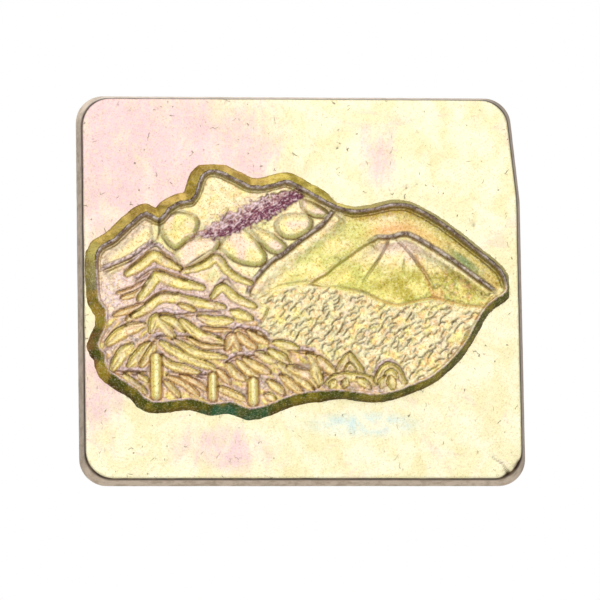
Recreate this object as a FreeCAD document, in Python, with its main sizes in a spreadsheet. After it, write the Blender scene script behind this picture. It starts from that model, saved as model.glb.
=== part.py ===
import FreeCAD, Part
import math
import os
import Sketcher

# A rectangular metal lapel pin: a drafted plate that carries a raised landscape, two pointed
# posts soldered into seats in its back, and a butterfly clutch on each post.
#
# Frame: the pin stands upright, as it is worn. The origin is the centre of the plate's back
# face, +X is to the viewer's right, +Y points back into the garment and +Z is up.

doc = FreeCAD.newDocument("landscape_pin")

TOUCH = 0.01      # mm: two levels nearer than this are the same level
NOTHING = 1e-6    # a length or a volume below this counts as none

# ---------------------------------------------------------------- driving dimensions, in mm

SIZES = {
    # plate; width and height are those of the front face, and the draft adds to each side
    "face_width": 38.0,
    "face_height": 33.5,
    "plate_depth": 1.5,
    "plate_draft": 0.45,
    "plate_corner": 2.4,
    "shoulder_rise": 8.0,        # height on the right side where the edge starts to lean in
    "shoulder_lean": 0.65,       # how far it has leaned in at the top
    "face_edge_round": 0.15,
    # relief
    "relief_rise": 1.3,
    "field_depth": 0.6,
    "rim_width": 0.55,
    "rib_embed": 0.1,
    "rib_drop": 0.05,            # how far the ribs stay below the rim
    # posts, their pads and the seats in the plate's back
    "post_spacing": 19.0,
    "post_radius": 0.55,
    "post_length": 8.0,
    "post_point": 1.0,
    "post_tip_radius": 0.12,
    "groove_start": 3.45,
    "groove_width": 0.6,
    "groove_depth": 0.1,
    "pad_radius": 1.6,
    "pad_proud": 0.1,
    "seat_radius": 2.0,
    "seat_depth": 0.2,
    # clutches
    "cloth_gap": 2.3,
    "clutch_radius": 5.7,
    "sheet_gauge": 0.35,
    "pin_hole_radius": 0.8,
    "rim_height": 2.15,
    "rim_gauge": 0.4,
    "lip_radius": 4.3,
    "lip_gauge": 0.3,
    "lip_gap": 6.0,
    "dome_radius": 2.6,
    "dome_shoulder": 3.75,
    "flange_radius": 5.2,
    "flange_notch": 3.9,
    "outer_round": 0.25,
    "dome_foot_round": 0.3,
    "cutter_reach": 1.0,         # how far a cutter runs past what it cuts
    "cutter_start": 0.1,         # how far before it a cutter starts
    "wing_gauge": 0.3,
    "wing_half_width": 2.3,
    "wing_floor": 1.3,
    "jaw_gap": 0.1,
    "jaw_radius": 0.6,
    "wing_bend": 4.2,
    "ear_run": 3.4,
    "ear_rise": 4.85,
    "ear_round": 1.9,
    "turn_left": 12.0,
    "turn_right": -8.0,
}

sheet = doc.addObject("Spreadsheet::Sheet", "sizes")
for row, (alias, value) in enumerate(SIZES.items(), start=1):
    sheet.set("A%d" % row, alias)
    sheet.set("B%d" % row, str(value))
    sheet.setAlias("B%d" % row, alias)
doc.recompute()


def size(alias):
    """The sheet's current value of one dimension."""
    return float(getattr(sheet, alias))


# ---------------------------------------------------------------- helpers

def new_body(label):
    """An empty body with its own label."""
    body = doc.addObject("PartDesign::Body", label)
    body.Label = label
    return body


def new_sketch(body, name, role):
    """A sketch on one of the body's own origin planes."""
    sketch = body.newObject("Sketcher::SketchObject", name)
    plane = next(item for item in body.Origin.OriginFeatures if item.Role == role)
    sketch.AttachmentSupport = [(plane, "")]
    sketch.MapMode = "FlatFace"
    return sketch


def pin_vertex(sketch, line, expressions):
    """Fix the start of a line to two expressions, one along each of the sketch's axes."""
    axes = (("DistanceX", -2), ("DistanceY", -1))
    for expression, (kind, axis) in zip(expressions, axes):
        value = float(sketch.evalExpression(expression))
        if abs(value) < NOTHING:
            sketch.addConstraint(Sketcher.Constraint("PointOnObject", line, 1, axis))
            continue
        ends = (-1, 1, line, 1) if value > 0 else (line, 1, -1, 1)
        index = sketch.addConstraint(Sketcher.Constraint(kind, *ends, abs(value)))
        signed = expression if value > 0 else "-(%s)" % expression
        sketch.setExpression("Constraints[%d]" % index, signed)


def polygon(sketch, points):
    """A closed outline of straight lines, whose corners are pairs of expressions."""
    first = sketch.GeometryCount
    where = [[float(sketch.evalExpression(part)) for part in point] for point in points]
    count = len(points)
    for index in range(count):
        start = FreeCAD.Vector(*where[index], 0)
        end = FreeCAD.Vector(*where[(index + 1) % count], 0)
        sketch.addGeometry(Part.LineSegment(start, end), False)
    for index in range(count):
        following = first + (index + 1) % count
        sketch.addConstraint(Sketcher.Constraint("Coincident", first + index, 2, following, 1))
    for index, point in enumerate(points):
        pin_vertex(sketch, first + index, point)


def circle(sketch, x, y, radius):
    """A circle whose centre and radius are expressions."""
    centre = [float(sketch.evalExpression(part)) for part in (x, y)]
    spot = FreeCAD.Vector(*centre, 0)
    value = float(sketch.evalExpression(radius))
    number = sketch.addGeometry(Part.Circle(spot, FreeCAD.Vector(0, 0, 1), value), False)
    index = sketch.addConstraint(Sketcher.Constraint("Radius", number, value))
    sketch.setExpression("Constraints[%d]" % index, radius)
    for kind, axis, expression, where in zip(("DistanceX", "DistanceY"), (-2, -1), (x, y), centre):
        if abs(where) < NOTHING:
            sketch.addConstraint(Sketcher.Constraint("PointOnObject", number, 3, axis))
            continue
        ends = (-1, 1, number, 3) if where > 0 else (number, 3, -1, 1)
        index = sketch.addConstraint(Sketcher.Constraint(kind, *ends, abs(where)))
        signed = expression if where > 0 else "-(%s)" % expression
        sketch.setExpression("Constraints[%d]" % index, signed)


def pad(body, sketch, name, length, **options):
    """Pad a sketch by an expression."""
    feature = body.newObject("PartDesign::Pad", name)
    feature.Profile = sketch
    feature.setExpression("Length", length)
    for option, value in options.items():
        setattr(feature, option, value)
    doc.recompute()
    return feature


def pocket(body, sketch, name, length, **options):
    """Pocket a sketch by an expression, and make sure that it really cuts."""
    before = body.Shape.Volume
    feature = body.newObject("PartDesign::Pocket", name)
    feature.Profile = sketch
    feature.setExpression("Length", length)
    for option, value in options.items():
        setattr(feature, option, value)
    doc.recompute()
    if body.Shape.Volume >= before - NOTHING:
        raise RuntimeError("%s cuts nothing" % name)
    return feature


def revolve(body, sketch, name):
    """Turn a profile once around the sketch's vertical axis."""
    feature = body.newObject("PartDesign::Revolution", name)
    feature.Profile = sketch
    feature.ReferenceAxis = (sketch, ["V_Axis"])
    feature.Angle = 360.0
    doc.recompute()
    return feature


def fillet(body, name, chosen, radius):
    """Round those edges of the body's last feature that a test picks."""
    base = body.Tip
    names = ["Edge%d" % number for number, edge in enumerate(base.Shape.Edges, start=1)
             if chosen(edge)]
    feature = body.newObject("PartDesign::Fillet", name)
    feature.Base = (base, names)
    feature.setExpression("Radius", radius)
    doc.recompute()
    return feature


def place(piece, x="0", y="0", turn=None):
    """Bind a piece's placement: across, back, and a turn about its own axis along Y."""
    if turn is not None:
        piece.Placement.Rotation = FreeCAD.Rotation(FreeCAD.Vector(0, 1, 0), 1)
        piece.setExpression("Placement.Rotation.Angle", "sizes.%s" % turn)
    piece.setExpression("Placement.Base.x", x)
    piece.setExpression("Placement.Base.y", y)


# ---------------------------------------------------------------- backing plate

def backing_plate():
    """The plate: its back lies on Y = 0 and its side walls draw in towards the face."""
    body = new_body("backing_plate")
    outline = new_sketch(body, "plate_outline", "XZ_Plane")
    half_width = "sizes.face_width / 2 + sizes.plate_draft"
    half_height = "sizes.face_height / 2 + sizes.plate_draft"
    polygon(outline, [
        ("-(%s)" % half_width, "-(%s)" % half_height),
        (half_width, "-(%s)" % half_height),
        (half_width, "sizes.shoulder_rise"),
        ("%s - sizes.shoulder_lean" % half_width, half_height),
        ("-(%s)" % half_width, half_height),
    ])
    slab = pad(body, outline, "plate_slab", "sizes.plate_depth")
    slab.setExpression("TaperAngle", "-atan(sizes.plate_draft / sizes.plate_depth)")
    doc.recompute()

    def at_a_corner(edge):
        middle = edge.CenterOfMass
        upright = abs(edge.BoundBox.YLength - size("plate_depth")) < TOUCH
        return upright and abs(middle.z) > size("face_height") / 3

    def on_the_face(edge):
        return edge.BoundBox.YMax < TOUCH - size("plate_depth")

    fillet(body, "plate_corners", at_a_corner, "sizes.plate_corner")
    fillet(body, "plate_face_edge", on_the_face, "sizes.face_edge_round")

    seats = new_sketch(body, "post_seats", "XZ_Plane")
    for side in ("-", ""):
        circle(seats, side + "sizes.post_spacing / 2", "0", "sizes.seat_radius")
    pocket(body, seats, "post_seat_pocket", "sizes.seat_depth", Reversed=True)
    return body


# ---------------------------------------------------------------- landscape relief

# The relief's outline along its top edge, clockwise from the left end: (x, z).
RELIEF_RIM = [
    (-18.0, 2.9), (-16.5, 4.1), (-14.7, 5.8), (-13.6, 6.5), (-12.5, 5.9),
    (-11.7, 6.8), (-10.7, 7.4), (-9.7, 7.6), (-9.2, 8.5), (-8.8, 9.7), (-8.0, 10.2),
    (-7.0, 10.1), (-5.2, 9.2), (-4.2, 8.8), (-3.0, 8.9), (-1.6, 9.3), (-0.8, 9.2),
    (0.1, 8.7), (1.7, 7.8), (3.0, 7.1), (4.6, 6.7), (6.2, 6.9), (7.8, 7.3), (9.4, 7.2),
    (10.9, 6.5), (12.9, 5.2), (15.3, 3.3), (17.2, 1.7), (17.8, 0.5), (17.8, -0.5),
    (17.0, -1.1), (15.9, -2.0), (14.2, -4.9), (12.8, -6.6), (11.1, -8.0), (9.3, -8.8),
    (7.6, -9.4), (5.9, -9.6), (3.5, -9.3), (1.4, -9.3), (-1.1, -9.7), (-3.1, -10.5),
    (-4.8, -10.9), (-6.4, -10.3), (-8.2, -10.5), (-9.8, -10.0), (-13.3, -10.3),
    (-14.6, -9.2), (-17.1, -7.5), (-17.4, -6.1), (-18.0, -5.2), (-17.3, -3.6),
    (-17.3, -2.1), (-17.9, -1.2),
]
FLANK_SPREAD = 0.5          # how far the wall runs out from the rim to its foot
PEAK_FLANK_SPREAD = 0.9     # the same above the left peaks
PEAK_FLANK = range(1, 19)   # the outline points there
LOW_FLANK_SPREAD = 0.75     # the same along the foot of the trees
LOW_FLANK = range(39, 49)   # the outline points there
END_FLANK_SPREAD = 0.8      # the same at the left end, where the foot reaches the plate's edge
END_FLANK = (49, 50, 51, 52, 53, 0)

# Ridge lines, tree outlines and boughs that stand up from the field: (width, points).
RIBS = [
    (0.5, [(3.6, 7.0), (1.8, 5.3), (-1.6, 2.7), (-3.5, 1.2), (-4.6, -0.5)]),
    (0.45, [(6.7, 4.2), (4.3, 2.8), (0.6, 0.3)]),
    (0.5, [(6.6, 4.2), (9.1, 4.5), (12.3, 2.7), (16.0, 0.0)]),
    (0.3, [(7.6, 4.1), (5.3, 0.5)]),
    (0.3, [(8.5, 4.2), (10.1, 1.8), (11.7, -0.3)]),
    (0.4, [(-4.3, -1.2), (-2.1, -0.3), (1.4, 0.0), (5.6, -0.7), (10.0, -1.3), (15.1, -2.3)]),
    (1.1, [(-10.0, 3.9), (-5.5, 6.1), (-0.8, 8.2)]),
    (0.5, [(-17.3, 1.4), (-14.0, 3.1), (-12.7, 4.2), (-12.7, 6.0)]),
    (0.6, [(-15.5, 1.1), (-12.7, 3.1), (-10.9, 1.7)]),
    (0.7, [(-14.4, -1.6), (-12.3, 0.8), (-8.9, -0.3)]),
    (0.7, [(-15.0, -3.1), (-12.7, -1.5), (-7.1, -2.0)]),
    (0.8, [(-16.9, -5.2), (-13.0, -3.3)]),
    (0.8, [(-15.8, -7.1), (-13.6, -4.8), (-9.6, -7.5)]),
    (0.7, [(-11.9, -4.3), (-7.1, -6.0)]),
    (0.7, [(-9.6, 0.3), (-7.6, 2.5), (-5.4, 0.2)]),
    (0.6, [(-8.1, -1.4), (-6.9, -0.1), (-5.4, -1.8)]),
    (0.7, [(-6.7, -4.8), (-5.6, -3.5), (-3.2, -4.9)]),
    (0.6, [(-5.9, -8.2), (-5.3, -6.5), (-3.1, -7.6)]),
    (0.6, [(0.0, -6.4), (1.0, -4.4), (2.5, -7.3)]),
    (0.6, [(2.9, -7.3), (4.0, -5.5), (4.9, -7.4)]),
    (0.6, [(2.0, -8.5), (5.8, -8.6), (7.4, -7.0), (8.7, -8.4)]),
    (1.0, [(-12.9, -6.9), (-12.9, -9.3)]),
    (0.8, [(-8.0, -8.2), (-8.0, -9.7)]),
    (0.9, [(-4.5, -8.6), (-4.5, -10.0)]),
]


def spread_outline(points, amounts):
    """Move each point of a closed clockwise outline outwards by its own amount."""
    moved = []
    for index, (x, z) in enumerate(points):
        before = points[index - 1]
        after = points[(index + 1) % len(points)]
        run = FreeCAD.Vector(after[0] - before[0], after[1] - before[1], 0).normalize()
        moved.append((x - run.y * amounts[index], z + run.x * amounts[index]))
    return moved


def outline_sketch(name, points, depth):
    """A closed outline, upright and facing forwards, at a depth given by expression."""
    sketch = doc.addObject("Sketcher::SketchObject", name)
    corners = [FreeCAD.Vector(x, z, 0) for x, z in points]
    for index, corner in enumerate(corners):
        sketch.addGeometry(Part.LineSegment(corners[index - 1], corner), False)
    for index in range(len(corners)):
        following = (index + 1) % len(corners)
        sketch.addConstraint(Sketcher.Constraint("Coincident", index, 2, following, 1))
    sketch.Placement.Rotation = FreeCAD.Rotation(FreeCAD.Vector(1, 0, 0), 90)
    sketch.setExpression("Placement.Base.y", depth)
    return sketch


def bar(width, start, end, low, high):
    """A straight raised bar with round ends, between two depths."""
    ends = [FreeCAD.Vector(x, -low, z) for x, z in (start, end)]
    along = (ends[1] - ends[0]).normalize()
    side = FreeCAD.Vector(-along.z, 0, along.x) * (width / 2)
    cap = along * (width / 2)
    outline = Part.Wire([
        Part.LineSegment(ends[0] + side, ends[1] + side).toShape(),
        Part.Arc(ends[1] + side, ends[1] + cap, ends[1] - side).toShape(),
        Part.LineSegment(ends[1] - side, ends[0] - side).toShape(),
        Part.Arc(ends[0] - side, ends[0] - cap, ends[0] + side).toShape(),
    ])
    return Part.Face(outline).extrude(FreeCAD.Vector(0, low - high, 0))


def landscape_relief():
    """The relief: a drafted mass with a raised rim, a sunken field and ribs that stand in it."""
    spreads = [PEAK_FLANK_SPREAD if index in PEAK_FLANK
               else LOW_FLANK_SPREAD if index in LOW_FLANK
               else END_FLANK_SPREAD if index in END_FLANK else FLANK_SPREAD
               for index in range(len(RELIEF_RIM))]
    foot = outline_sketch("relief_foot", spread_outline(RELIEF_RIM, spreads),
                          "-sizes.plate_depth")
    rim = outline_sketch("relief_rim", RELIEF_RIM, "-sizes.plate_depth - sizes.relief_rise")
    inwards = [-size("rim_width")] * len(RELIEF_RIM)
    inner = outline_sketch("relief_inner", spread_outline(RELIEF_RIM, inwards),
                           "-sizes.plate_depth - sizes.relief_rise")

    mass = doc.addObject("Part::Loft", "relief_mass")
    mass.Sections = [foot, rim]
    mass.Solid = True
    mass.Ruled = True

    field = doc.addObject("Part::Extrusion", "relief_field")
    field.Base = inner
    field.DirMode = "Custom"
    field.Dir = FreeCAD.Vector(0, 1, 0)
    field.Solid = True
    field.setExpression("LengthFwd", "sizes.field_depth")

    dished = doc.addObject("Part::Cut", "relief_dished")
    dished.Base = mass
    dished.Tool = field

    top = size("plate_depth") + size("relief_rise")
    low = top - size("field_depth") - size("rib_embed")
    bars = [bar(width, start, end, low, top - size("rib_drop"))
            for width, points in RIBS for start, end in zip(points, points[1:])]
    ridges = doc.addObject("Part::Feature", "relief_ridges")
    ridges.Shape = bars[0].multiFuse(bars[1:])

    relief = doc.addObject("Part::MultiFuse", "landscape_relief")
    relief.Label = "landscape_relief"
    relief.Shapes = [dished, ridges]
    doc.recompute()
    return relief


# ---------------------------------------------------------------- posts and solder

def post(side, across):
    """One post with its pad: a turned pin, grooved for the clutch and pointed at the tip."""
    body = new_body("post_%s" % side)
    profile = new_sketch(body, "post_profile_%s" % side, "XY_Plane")
    neck = "sizes.post_radius - sizes.groove_depth"
    groove_end = "sizes.groove_start + sizes.groove_width"
    polygon(profile, [
        ("0", "-sizes.seat_depth"),
        ("sizes.pad_radius", "-sizes.seat_depth"),
        ("sizes.pad_radius", "sizes.pad_proud"),
        ("sizes.post_radius", "sizes.pad_proud"),
        ("sizes.post_radius", "sizes.groove_start"),
        (neck, "sizes.groove_start + sizes.groove_depth"),
        (neck, "%s - sizes.groove_depth" % groove_end),
        ("sizes.post_radius", groove_end),
        ("sizes.post_radius", "sizes.post_length - sizes.post_point"),
        ("sizes.post_tip_radius", "sizes.post_length"),
        ("0", "sizes.post_length"),
    ])
    revolve(body, profile, "post_turning_%s" % side)
    place(body, x=across)
    return body


def solder_fillet(side, across):
    """The ring of solder between the pad and the wall of its seat."""
    body = new_body("solder_fillet_%s" % side)
    profile = new_sketch(body, "solder_profile_%s" % side, "XY_Plane")
    polygon(profile, [
        ("sizes.pad_radius", "-sizes.seat_depth"),
        ("sizes.seat_radius", "-sizes.seat_depth"),
        ("sizes.seat_radius", "0"),
        ("sizes.pad_radius", "sizes.pad_proud"),
    ])
    revolve(body, profile, "solder_ring_%s" % side)
    place(body, x=across)
    return body


# ---------------------------------------------------------------- butterfly clutches

def clutch_face(side, across):
    """The clutch's base: a disc with the pin hole, a rim wall and two crimped lips."""
    body = new_body("clutch_face_%s" % side)
    profile = new_sketch(body, "face_profile_%s" % side, "XY_Plane")
    wall = "sizes.clutch_radius - sizes.rim_gauge"
    top = "sizes.rim_height + sizes.lip_gauge"
    polygon(profile, [
        ("sizes.pin_hole_radius", "0"),
        ("sizes.clutch_radius", "0"),
        ("sizes.clutch_radius", top),
        ("sizes.lip_radius", top),
        ("sizes.lip_radius", "sizes.rim_height"),
        (wall, "sizes.rim_height"),
        (wall, "sizes.sheet_gauge"),
        ("sizes.pin_hole_radius", "sizes.sheet_gauge"),
    ])
    revolve(body, profile, "face_turning_%s" % side)

    def outside(edge):
        return edge.BoundBox.XMax > size("clutch_radius") - TOUCH and edge.BoundBox.YLength < TOUCH

    fillet(body, "face_edges_%s" % side, outside, "sizes.outer_round")

    slot = new_sketch(body, "lip_gap_%s" % side, "XZ_Plane")
    slot.setExpression("AttachmentOffset.Base.z", "-sizes.rim_height")
    half = "sizes.lip_gap / 2"
    reach = "sizes.clutch_radius + sizes.cutter_reach"
    polygon(slot, [
        ("-%s" % half, "-(%s)" % reach), (half, "-(%s)" % reach),
        (half, reach), ("-%s" % half, reach),
    ])
    pocket(body, slot, "lip_slot_%s" % side, "sizes.lip_gauge + sizes.cutter_reach")
    place(body, x=across, y="sizes.cloth_gap", turn="turn_%s" % side)
    return body


def clutch_dome(side, across):
    """The clutch's cap: a flange held under the lips and a round dome over the post's tip."""
    body = new_body("clutch_dome_%s" % side)
    profile = new_sketch(body, "dome_profile_%s" % side, "XY_Plane")
    inner = "sizes.dome_radius - sizes.sheet_gauge"
    flange_low = "sizes.rim_height - sizes.sheet_gauge"
    polygon(profile, [
        (inner, flange_low),
        ("sizes.flange_radius", flange_low),
        ("sizes.flange_radius", "sizes.rim_height"),
        ("sizes.dome_radius", "sizes.rim_height"),
        ("sizes.dome_radius", "sizes.dome_shoulder"),
        (inner, "sizes.dome_shoulder"),
    ])
    revolve(body, profile, "dome_skirt_%s" % side)

    crown = new_sketch(body, "crown_profile_%s" % side, "XY_Plane")
    crown_section(crown)
    revolve(body, crown, "dome_crown_%s" % side)

    def at_the_foot(edge):
        box = edge.BoundBox
        level = abs(box.YMax - size("rim_height")) < TOUCH and box.YLength < TOUCH
        return level and abs(box.XMax - size("dome_radius")) < TOUCH

    fillet(body, "dome_foot_%s" % side, at_the_foot, "sizes.dome_foot_round")

    notch = new_sketch(body, "wing_notch_%s" % side, "XZ_Plane")
    notch.setExpression("AttachmentOffset.Base.z", "-(%s) + sizes.cutter_start" % flange_low)
    half = "sizes.lip_gap / 2"
    for sign in ("", "-"):
        near = "%ssizes.flange_notch" % sign
        far = "%s(sizes.flange_radius + sizes.cutter_reach)" % sign
        polygon(notch, [("-%s" % half, near), (half, near), (half, far), ("-%s" % half, far)])
    pocket(body, notch, "wing_notches_%s" % side, "sizes.sheet_gauge + 2 * sizes.cutter_start")
    place(body, x=across, y="sizes.cloth_gap", turn="turn_%s" % side)
    return body


def crown_section(sketch):
    """The hemispherical shell that closes the dome, as two quarter arcs and two lines."""
    outer = size("dome_radius")
    inner = outer - size("sheet_gauge")
    level = size("dome_shoulder")
    centre = FreeCAD.Vector(0, level, 0)
    normal = FreeCAD.Vector(0, 0, 1)
    for radius in (outer, inner):
        quarter = Part.ArcOfCircle(Part.Circle(centre, normal, radius), 0, math.pi / 2)
        sketch.addGeometry(quarter, False)
    step = FreeCAD.Vector(inner, level, 0), FreeCAD.Vector(outer, level, 0)
    crest = FreeCAD.Vector(0, level + outer, 0), FreeCAD.Vector(0, level + inner, 0)
    for start, end in (step, crest):
        sketch.addGeometry(Part.LineSegment(start, end), False)
    for first, first_end, second, second_end in (
            (1, 1, 2, 1), (2, 2, 0, 1), (0, 2, 3, 1), (3, 2, 1, 2)):
        sketch.addConstraint(
            Sketcher.Constraint("Coincident", first, first_end, second, second_end))
    sketch.addConstraint(Sketcher.Constraint("Coincident", 0, 3, 1, 3))
    sketch.addConstraint(Sketcher.Constraint("PointOnObject", 0, 3, -2))
    sketch.addConstraint(Sketcher.Constraint("PointOnObject", 0, 2, -2))
    sketch.addConstraint(Sketcher.Constraint("Horizontal", 2))
    bindings = [
        (Sketcher.Constraint("DistanceY", -1, 1, 0, 3, level), "sizes.dome_shoulder"),
        (Sketcher.Constraint("Radius", 0, outer), "sizes.dome_radius"),
        (Sketcher.Constraint("Radius", 1, inner), "sizes.dome_radius - sizes.sheet_gauge"),
    ]
    for constraint, expression in bindings:
        index = sketch.addConstraint(constraint)
        sketch.setExpression("Constraints[%d]" % index, expression)


def clutch_wing(level, side, across):
    """One spring wing: a flat web with half of the jaw, bent up into a finger ear."""
    sign = "" if level == "upper" else "-"
    tag = "%s_%s" % (level, side)
    body = new_body("clutch_wing_%s" % tag)

    profile = new_sketch(body, "wing_profile_%s" % tag, "YZ_Plane")
    low = "sizes.wing_floor"
    high = "sizes.wing_floor + sizes.wing_gauge"
    lean = "sizes.ear_run / sqrt(sizes.ear_run ^ 2 + sizes.ear_rise ^ 2)"
    rise = "sizes.ear_rise / sqrt(sizes.ear_run ^ 2 + sizes.ear_rise ^ 2)"
    tip_out = "sizes.wing_bend + sizes.ear_run"
    tip_up = "sizes.wing_floor + sizes.ear_rise"
    inner_bend = "sizes.wing_bend - sizes.wing_gauge * (1 - %s) / (%s)" % (lean, rise)
    polygon(profile, [
        (low, "%ssizes.jaw_gap" % sign),
        (low, "%ssizes.wing_bend" % sign),
        (tip_up, "%s(%s)" % (sign, tip_out)),
        ("%s + sizes.wing_gauge * %s" % (tip_up, lean),
         "%s(%s - sizes.wing_gauge * %s)" % (sign, tip_out, rise)),
        (high, "%s(%s)" % (sign, inner_bend)),
        (high, "%ssizes.jaw_gap" % sign),
    ])
    pad(body, profile, "wing_strip_%s" % tag, "sizes.wing_half_width * 2", Midplane=True)

    jaw = new_sketch(body, "jaw_%s" % tag, "XZ_Plane")
    circle(jaw, "0", "0", "sizes.jaw_radius")
    pocket(body, jaw, "jaw_notch_%s" % tag, "sizes.ear_rise")

    def at_the_tip(edge):
        across_sheet = edge.Length < size("wing_gauge") * 1.5
        return across_sheet and edge.CenterOfMass.y > size("ear_rise")

    fillet(body, "ear_round_%s" % tag, at_the_tip, "sizes.ear_round")
    place(body, x=across, y="sizes.cloth_gap", turn="turn_%s" % side)
    return body


# ---------------------------------------------------------------- build, check and write

pieces = [backing_plate(), landscape_relief()]
for side, across in (("left", "-sizes.post_spacing / 2"), ("right", "sizes.post_spacing / 2")):
    pieces.append(post(side, across))
    pieces.append(solder_fillet(side, across))
    pieces.append(clutch_face(side, across))
    pieces.append(clutch_dome(side, across))
    for level in ("upper", "lower"):
        pieces.append(clutch_wing(level, side, across))

doc.recompute()

for item in doc.Objects:
    if "Invalid" in item.State or "Error" in item.State:
        raise RuntimeError("%s failed: %s" % (item.Label, item.State))

for piece in pieces:
    shape = piece.Shape
    if shape.isNull() or not shape.isValid() or not shape.Solids:
        raise RuntimeError("%s has no valid solid" % piece.Label)

os.makedirs("parts", exist_ok=True)
for piece in pieces:
    piece.Shape.exportStep("parts/%s.step" % piece.Label)
    box = piece.Shape.BoundBox
    print("%-26s solids %d  volume %9.3f  x %.2f..%.2f  y %.2f..%.2f  z %.2f..%.2f" % (
        piece.Label, len(piece.Shape.Solids), piece.Shape.Volume,
        box.XMin, box.XMax, box.YMin, box.YMax, box.ZMin, box.ZMax))
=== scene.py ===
import math

import bmesh
import bpy
import numpy as np
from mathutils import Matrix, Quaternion, Vector


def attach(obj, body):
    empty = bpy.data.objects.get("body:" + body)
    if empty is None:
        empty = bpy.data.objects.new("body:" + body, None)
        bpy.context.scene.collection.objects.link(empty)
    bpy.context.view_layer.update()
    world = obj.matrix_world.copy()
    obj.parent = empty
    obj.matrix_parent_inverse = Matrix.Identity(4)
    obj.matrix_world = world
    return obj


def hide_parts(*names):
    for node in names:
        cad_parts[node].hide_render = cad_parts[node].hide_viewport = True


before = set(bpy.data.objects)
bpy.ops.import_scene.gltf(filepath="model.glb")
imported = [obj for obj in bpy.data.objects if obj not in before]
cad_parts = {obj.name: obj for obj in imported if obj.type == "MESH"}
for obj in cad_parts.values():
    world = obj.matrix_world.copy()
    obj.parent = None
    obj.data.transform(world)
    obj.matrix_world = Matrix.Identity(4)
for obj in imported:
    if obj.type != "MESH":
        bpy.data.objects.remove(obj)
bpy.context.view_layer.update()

# A struck metal lapel pin. Lengths in this script are in millimetres until a mesh is made.
# X is to the right, Y back into the garment, Z up; the plate's back lies on Y = 0.

MM = 0.001
scene = bpy.context.scene

PLATE_DEPTH = 1.5
CREST = 1.28                # the relief's rim, above the plate's face
PITCH = 0.081               # spacing of the relief's mesh
BURIED = 0.12               # how far the relief's foot reaches into the plate
SHEET_LOW = (-19.1, -12.1)  # lower left corner of the relief's grid
SHEET_SIZE = (37.4, 23.1)   # its width and height
BOUGH_EDGE = 0.86           # height of a bough's edge above the plate's face
DASH_ROWS, DASH_COLUMNS = 26, 34
SHARP = 38                  # edges of the plate bent by more than this, in degrees, stay crisp


# ---------------------------------------------------------------- numbers on grids

def tone(red, green, blue):
    """A display colour, 0 to 255, as linear light."""
    value = np.array([red, green, blue]) / 255
    return np.where(value <= 0.04045, value / 12.92, ((value + 0.055) / 1.055) ** 2.4)


def smooth(value, low, high):
    """0 below low, 1 above high, and an even rise between."""
    part = np.clip((value - low) / (high - low), 0, 1)
    return part * part * (3 - 2 * part)


def hump(value, middle, width):
    """1 at the middle value, falling away evenly on both sides."""
    return np.exp(-((value - middle) / width) ** 2)


def lattice(x, z, cell, seed):
    """Even noise from -1 to 1, with one random value at each corner of a square lattice."""
    u, v = x / cell, z / cell
    i, j = np.floor(u).astype(np.int64), np.floor(v).astype(np.int64)
    fu, fv = u - i, v - j
    fu, fv = fu * fu * (3 - 2 * fu), fv * fv * (3 - 2 * fv)

    def corner(a, b):
        mixed = (a * 374761393 + b * 668265263 + seed * 974634521) & 0x7FFFFFFF
        mixed = ((mixed ^ (mixed >> 13)) * 1274126177) & 0x7FFFFFFF
        return ((mixed ^ (mixed >> 16)) & 0xFFFF) / 32767.5 - 1

    low = corner(i, j) * (1 - fu) + corner(i + 1, j) * fu
    high = corner(i, j + 1) * (1 - fu) + corner(i + 1, j + 1) * fu
    return low * (1 - fv) + high * fv


def rough(x, z, cell, seed, octaves=3):
    """Noise with finer noise on it."""
    total, weight = 0, 0
    for octave in range(octaves):
        share = 0.55 ** octave
        total = total + share * lattice(x, z, cell / 2 ** octave, seed + octave)
        weight += share
    return total / weight


def blur(values, radius):
    """A soft average over that many grid steps each way."""
    taps = np.exp(-0.5 * (np.arange(-2 * radius, 2 * radius + 1) / radius) ** 2)
    taps /= taps.sum()
    for axis in (0, 1):
        pad = [(2 * radius, 2 * radius) if a == axis else (0, 0) for a in (0, 1)]
        wide = np.pad(values, pad, mode="edge")
        size = values.shape[axis]
        values = sum(tap * wide.take(range(k, k + size), axis) for k, tap in enumerate(taps))
    return values


def curve(points, step=0.3, closed=False):
    """An even curve through the points."""
    pts = np.array(points, float)
    count = len(pts)
    if closed:
        ext = np.vstack([pts[-1:], pts, pts[:2]])
    else:
        ext = np.vstack([2 * pts[0] - pts[1], pts, 2 * pts[-1] - pts[-2]])
    out = []
    for k in range(count if closed else count - 1):
        a, b, c, d = ext[k:k + 4]
        parts = max(2, int(np.hypot(*(c - b)) / step))
        for t in np.arange(parts) / parts:
            out.append(0.5 * (2 * b + (c - a) * t + (2 * a - 5 * b + 4 * c - d) * t ** 2
                              + (3 * b - a - 3 * c + d) * t ** 3))
    if not closed:
        out.append(pts[-1])
    return np.array(out)


def nearest(x, z, line, closed=False):
    """Distance from each point to a line, its side (+ on the left), and how far along it is."""
    ends = np.vstack([line, line[:1]]) if closed else line
    best = np.full(x.shape, 1e9)
    side = np.ones(x.shape)
    along = np.zeros(x.shape)
    total = len(ends) - 1
    for k in range(total):
        (ax, az), (bx, bz) = ends[k], ends[k + 1]
        dx, dz = bx - ax, bz - az
        t = np.clip(((x - ax) * dx + (z - az) * dz) / (dx * dx + dz * dz + 1e-12), 0, 1)
        ox, oz = x - ax - t * dx, z - az - t * dz
        far = ox * ox + oz * oz
        closer = far < best
        best = np.where(closer, far, best)
        side = np.where(closer, np.where(dx * (z - az) - dz * (x - ax) >= 0, 1.0, -1.0), side)
        along = np.where(closer, (k + t) / total, along)
    return np.sqrt(best), side, along


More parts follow.
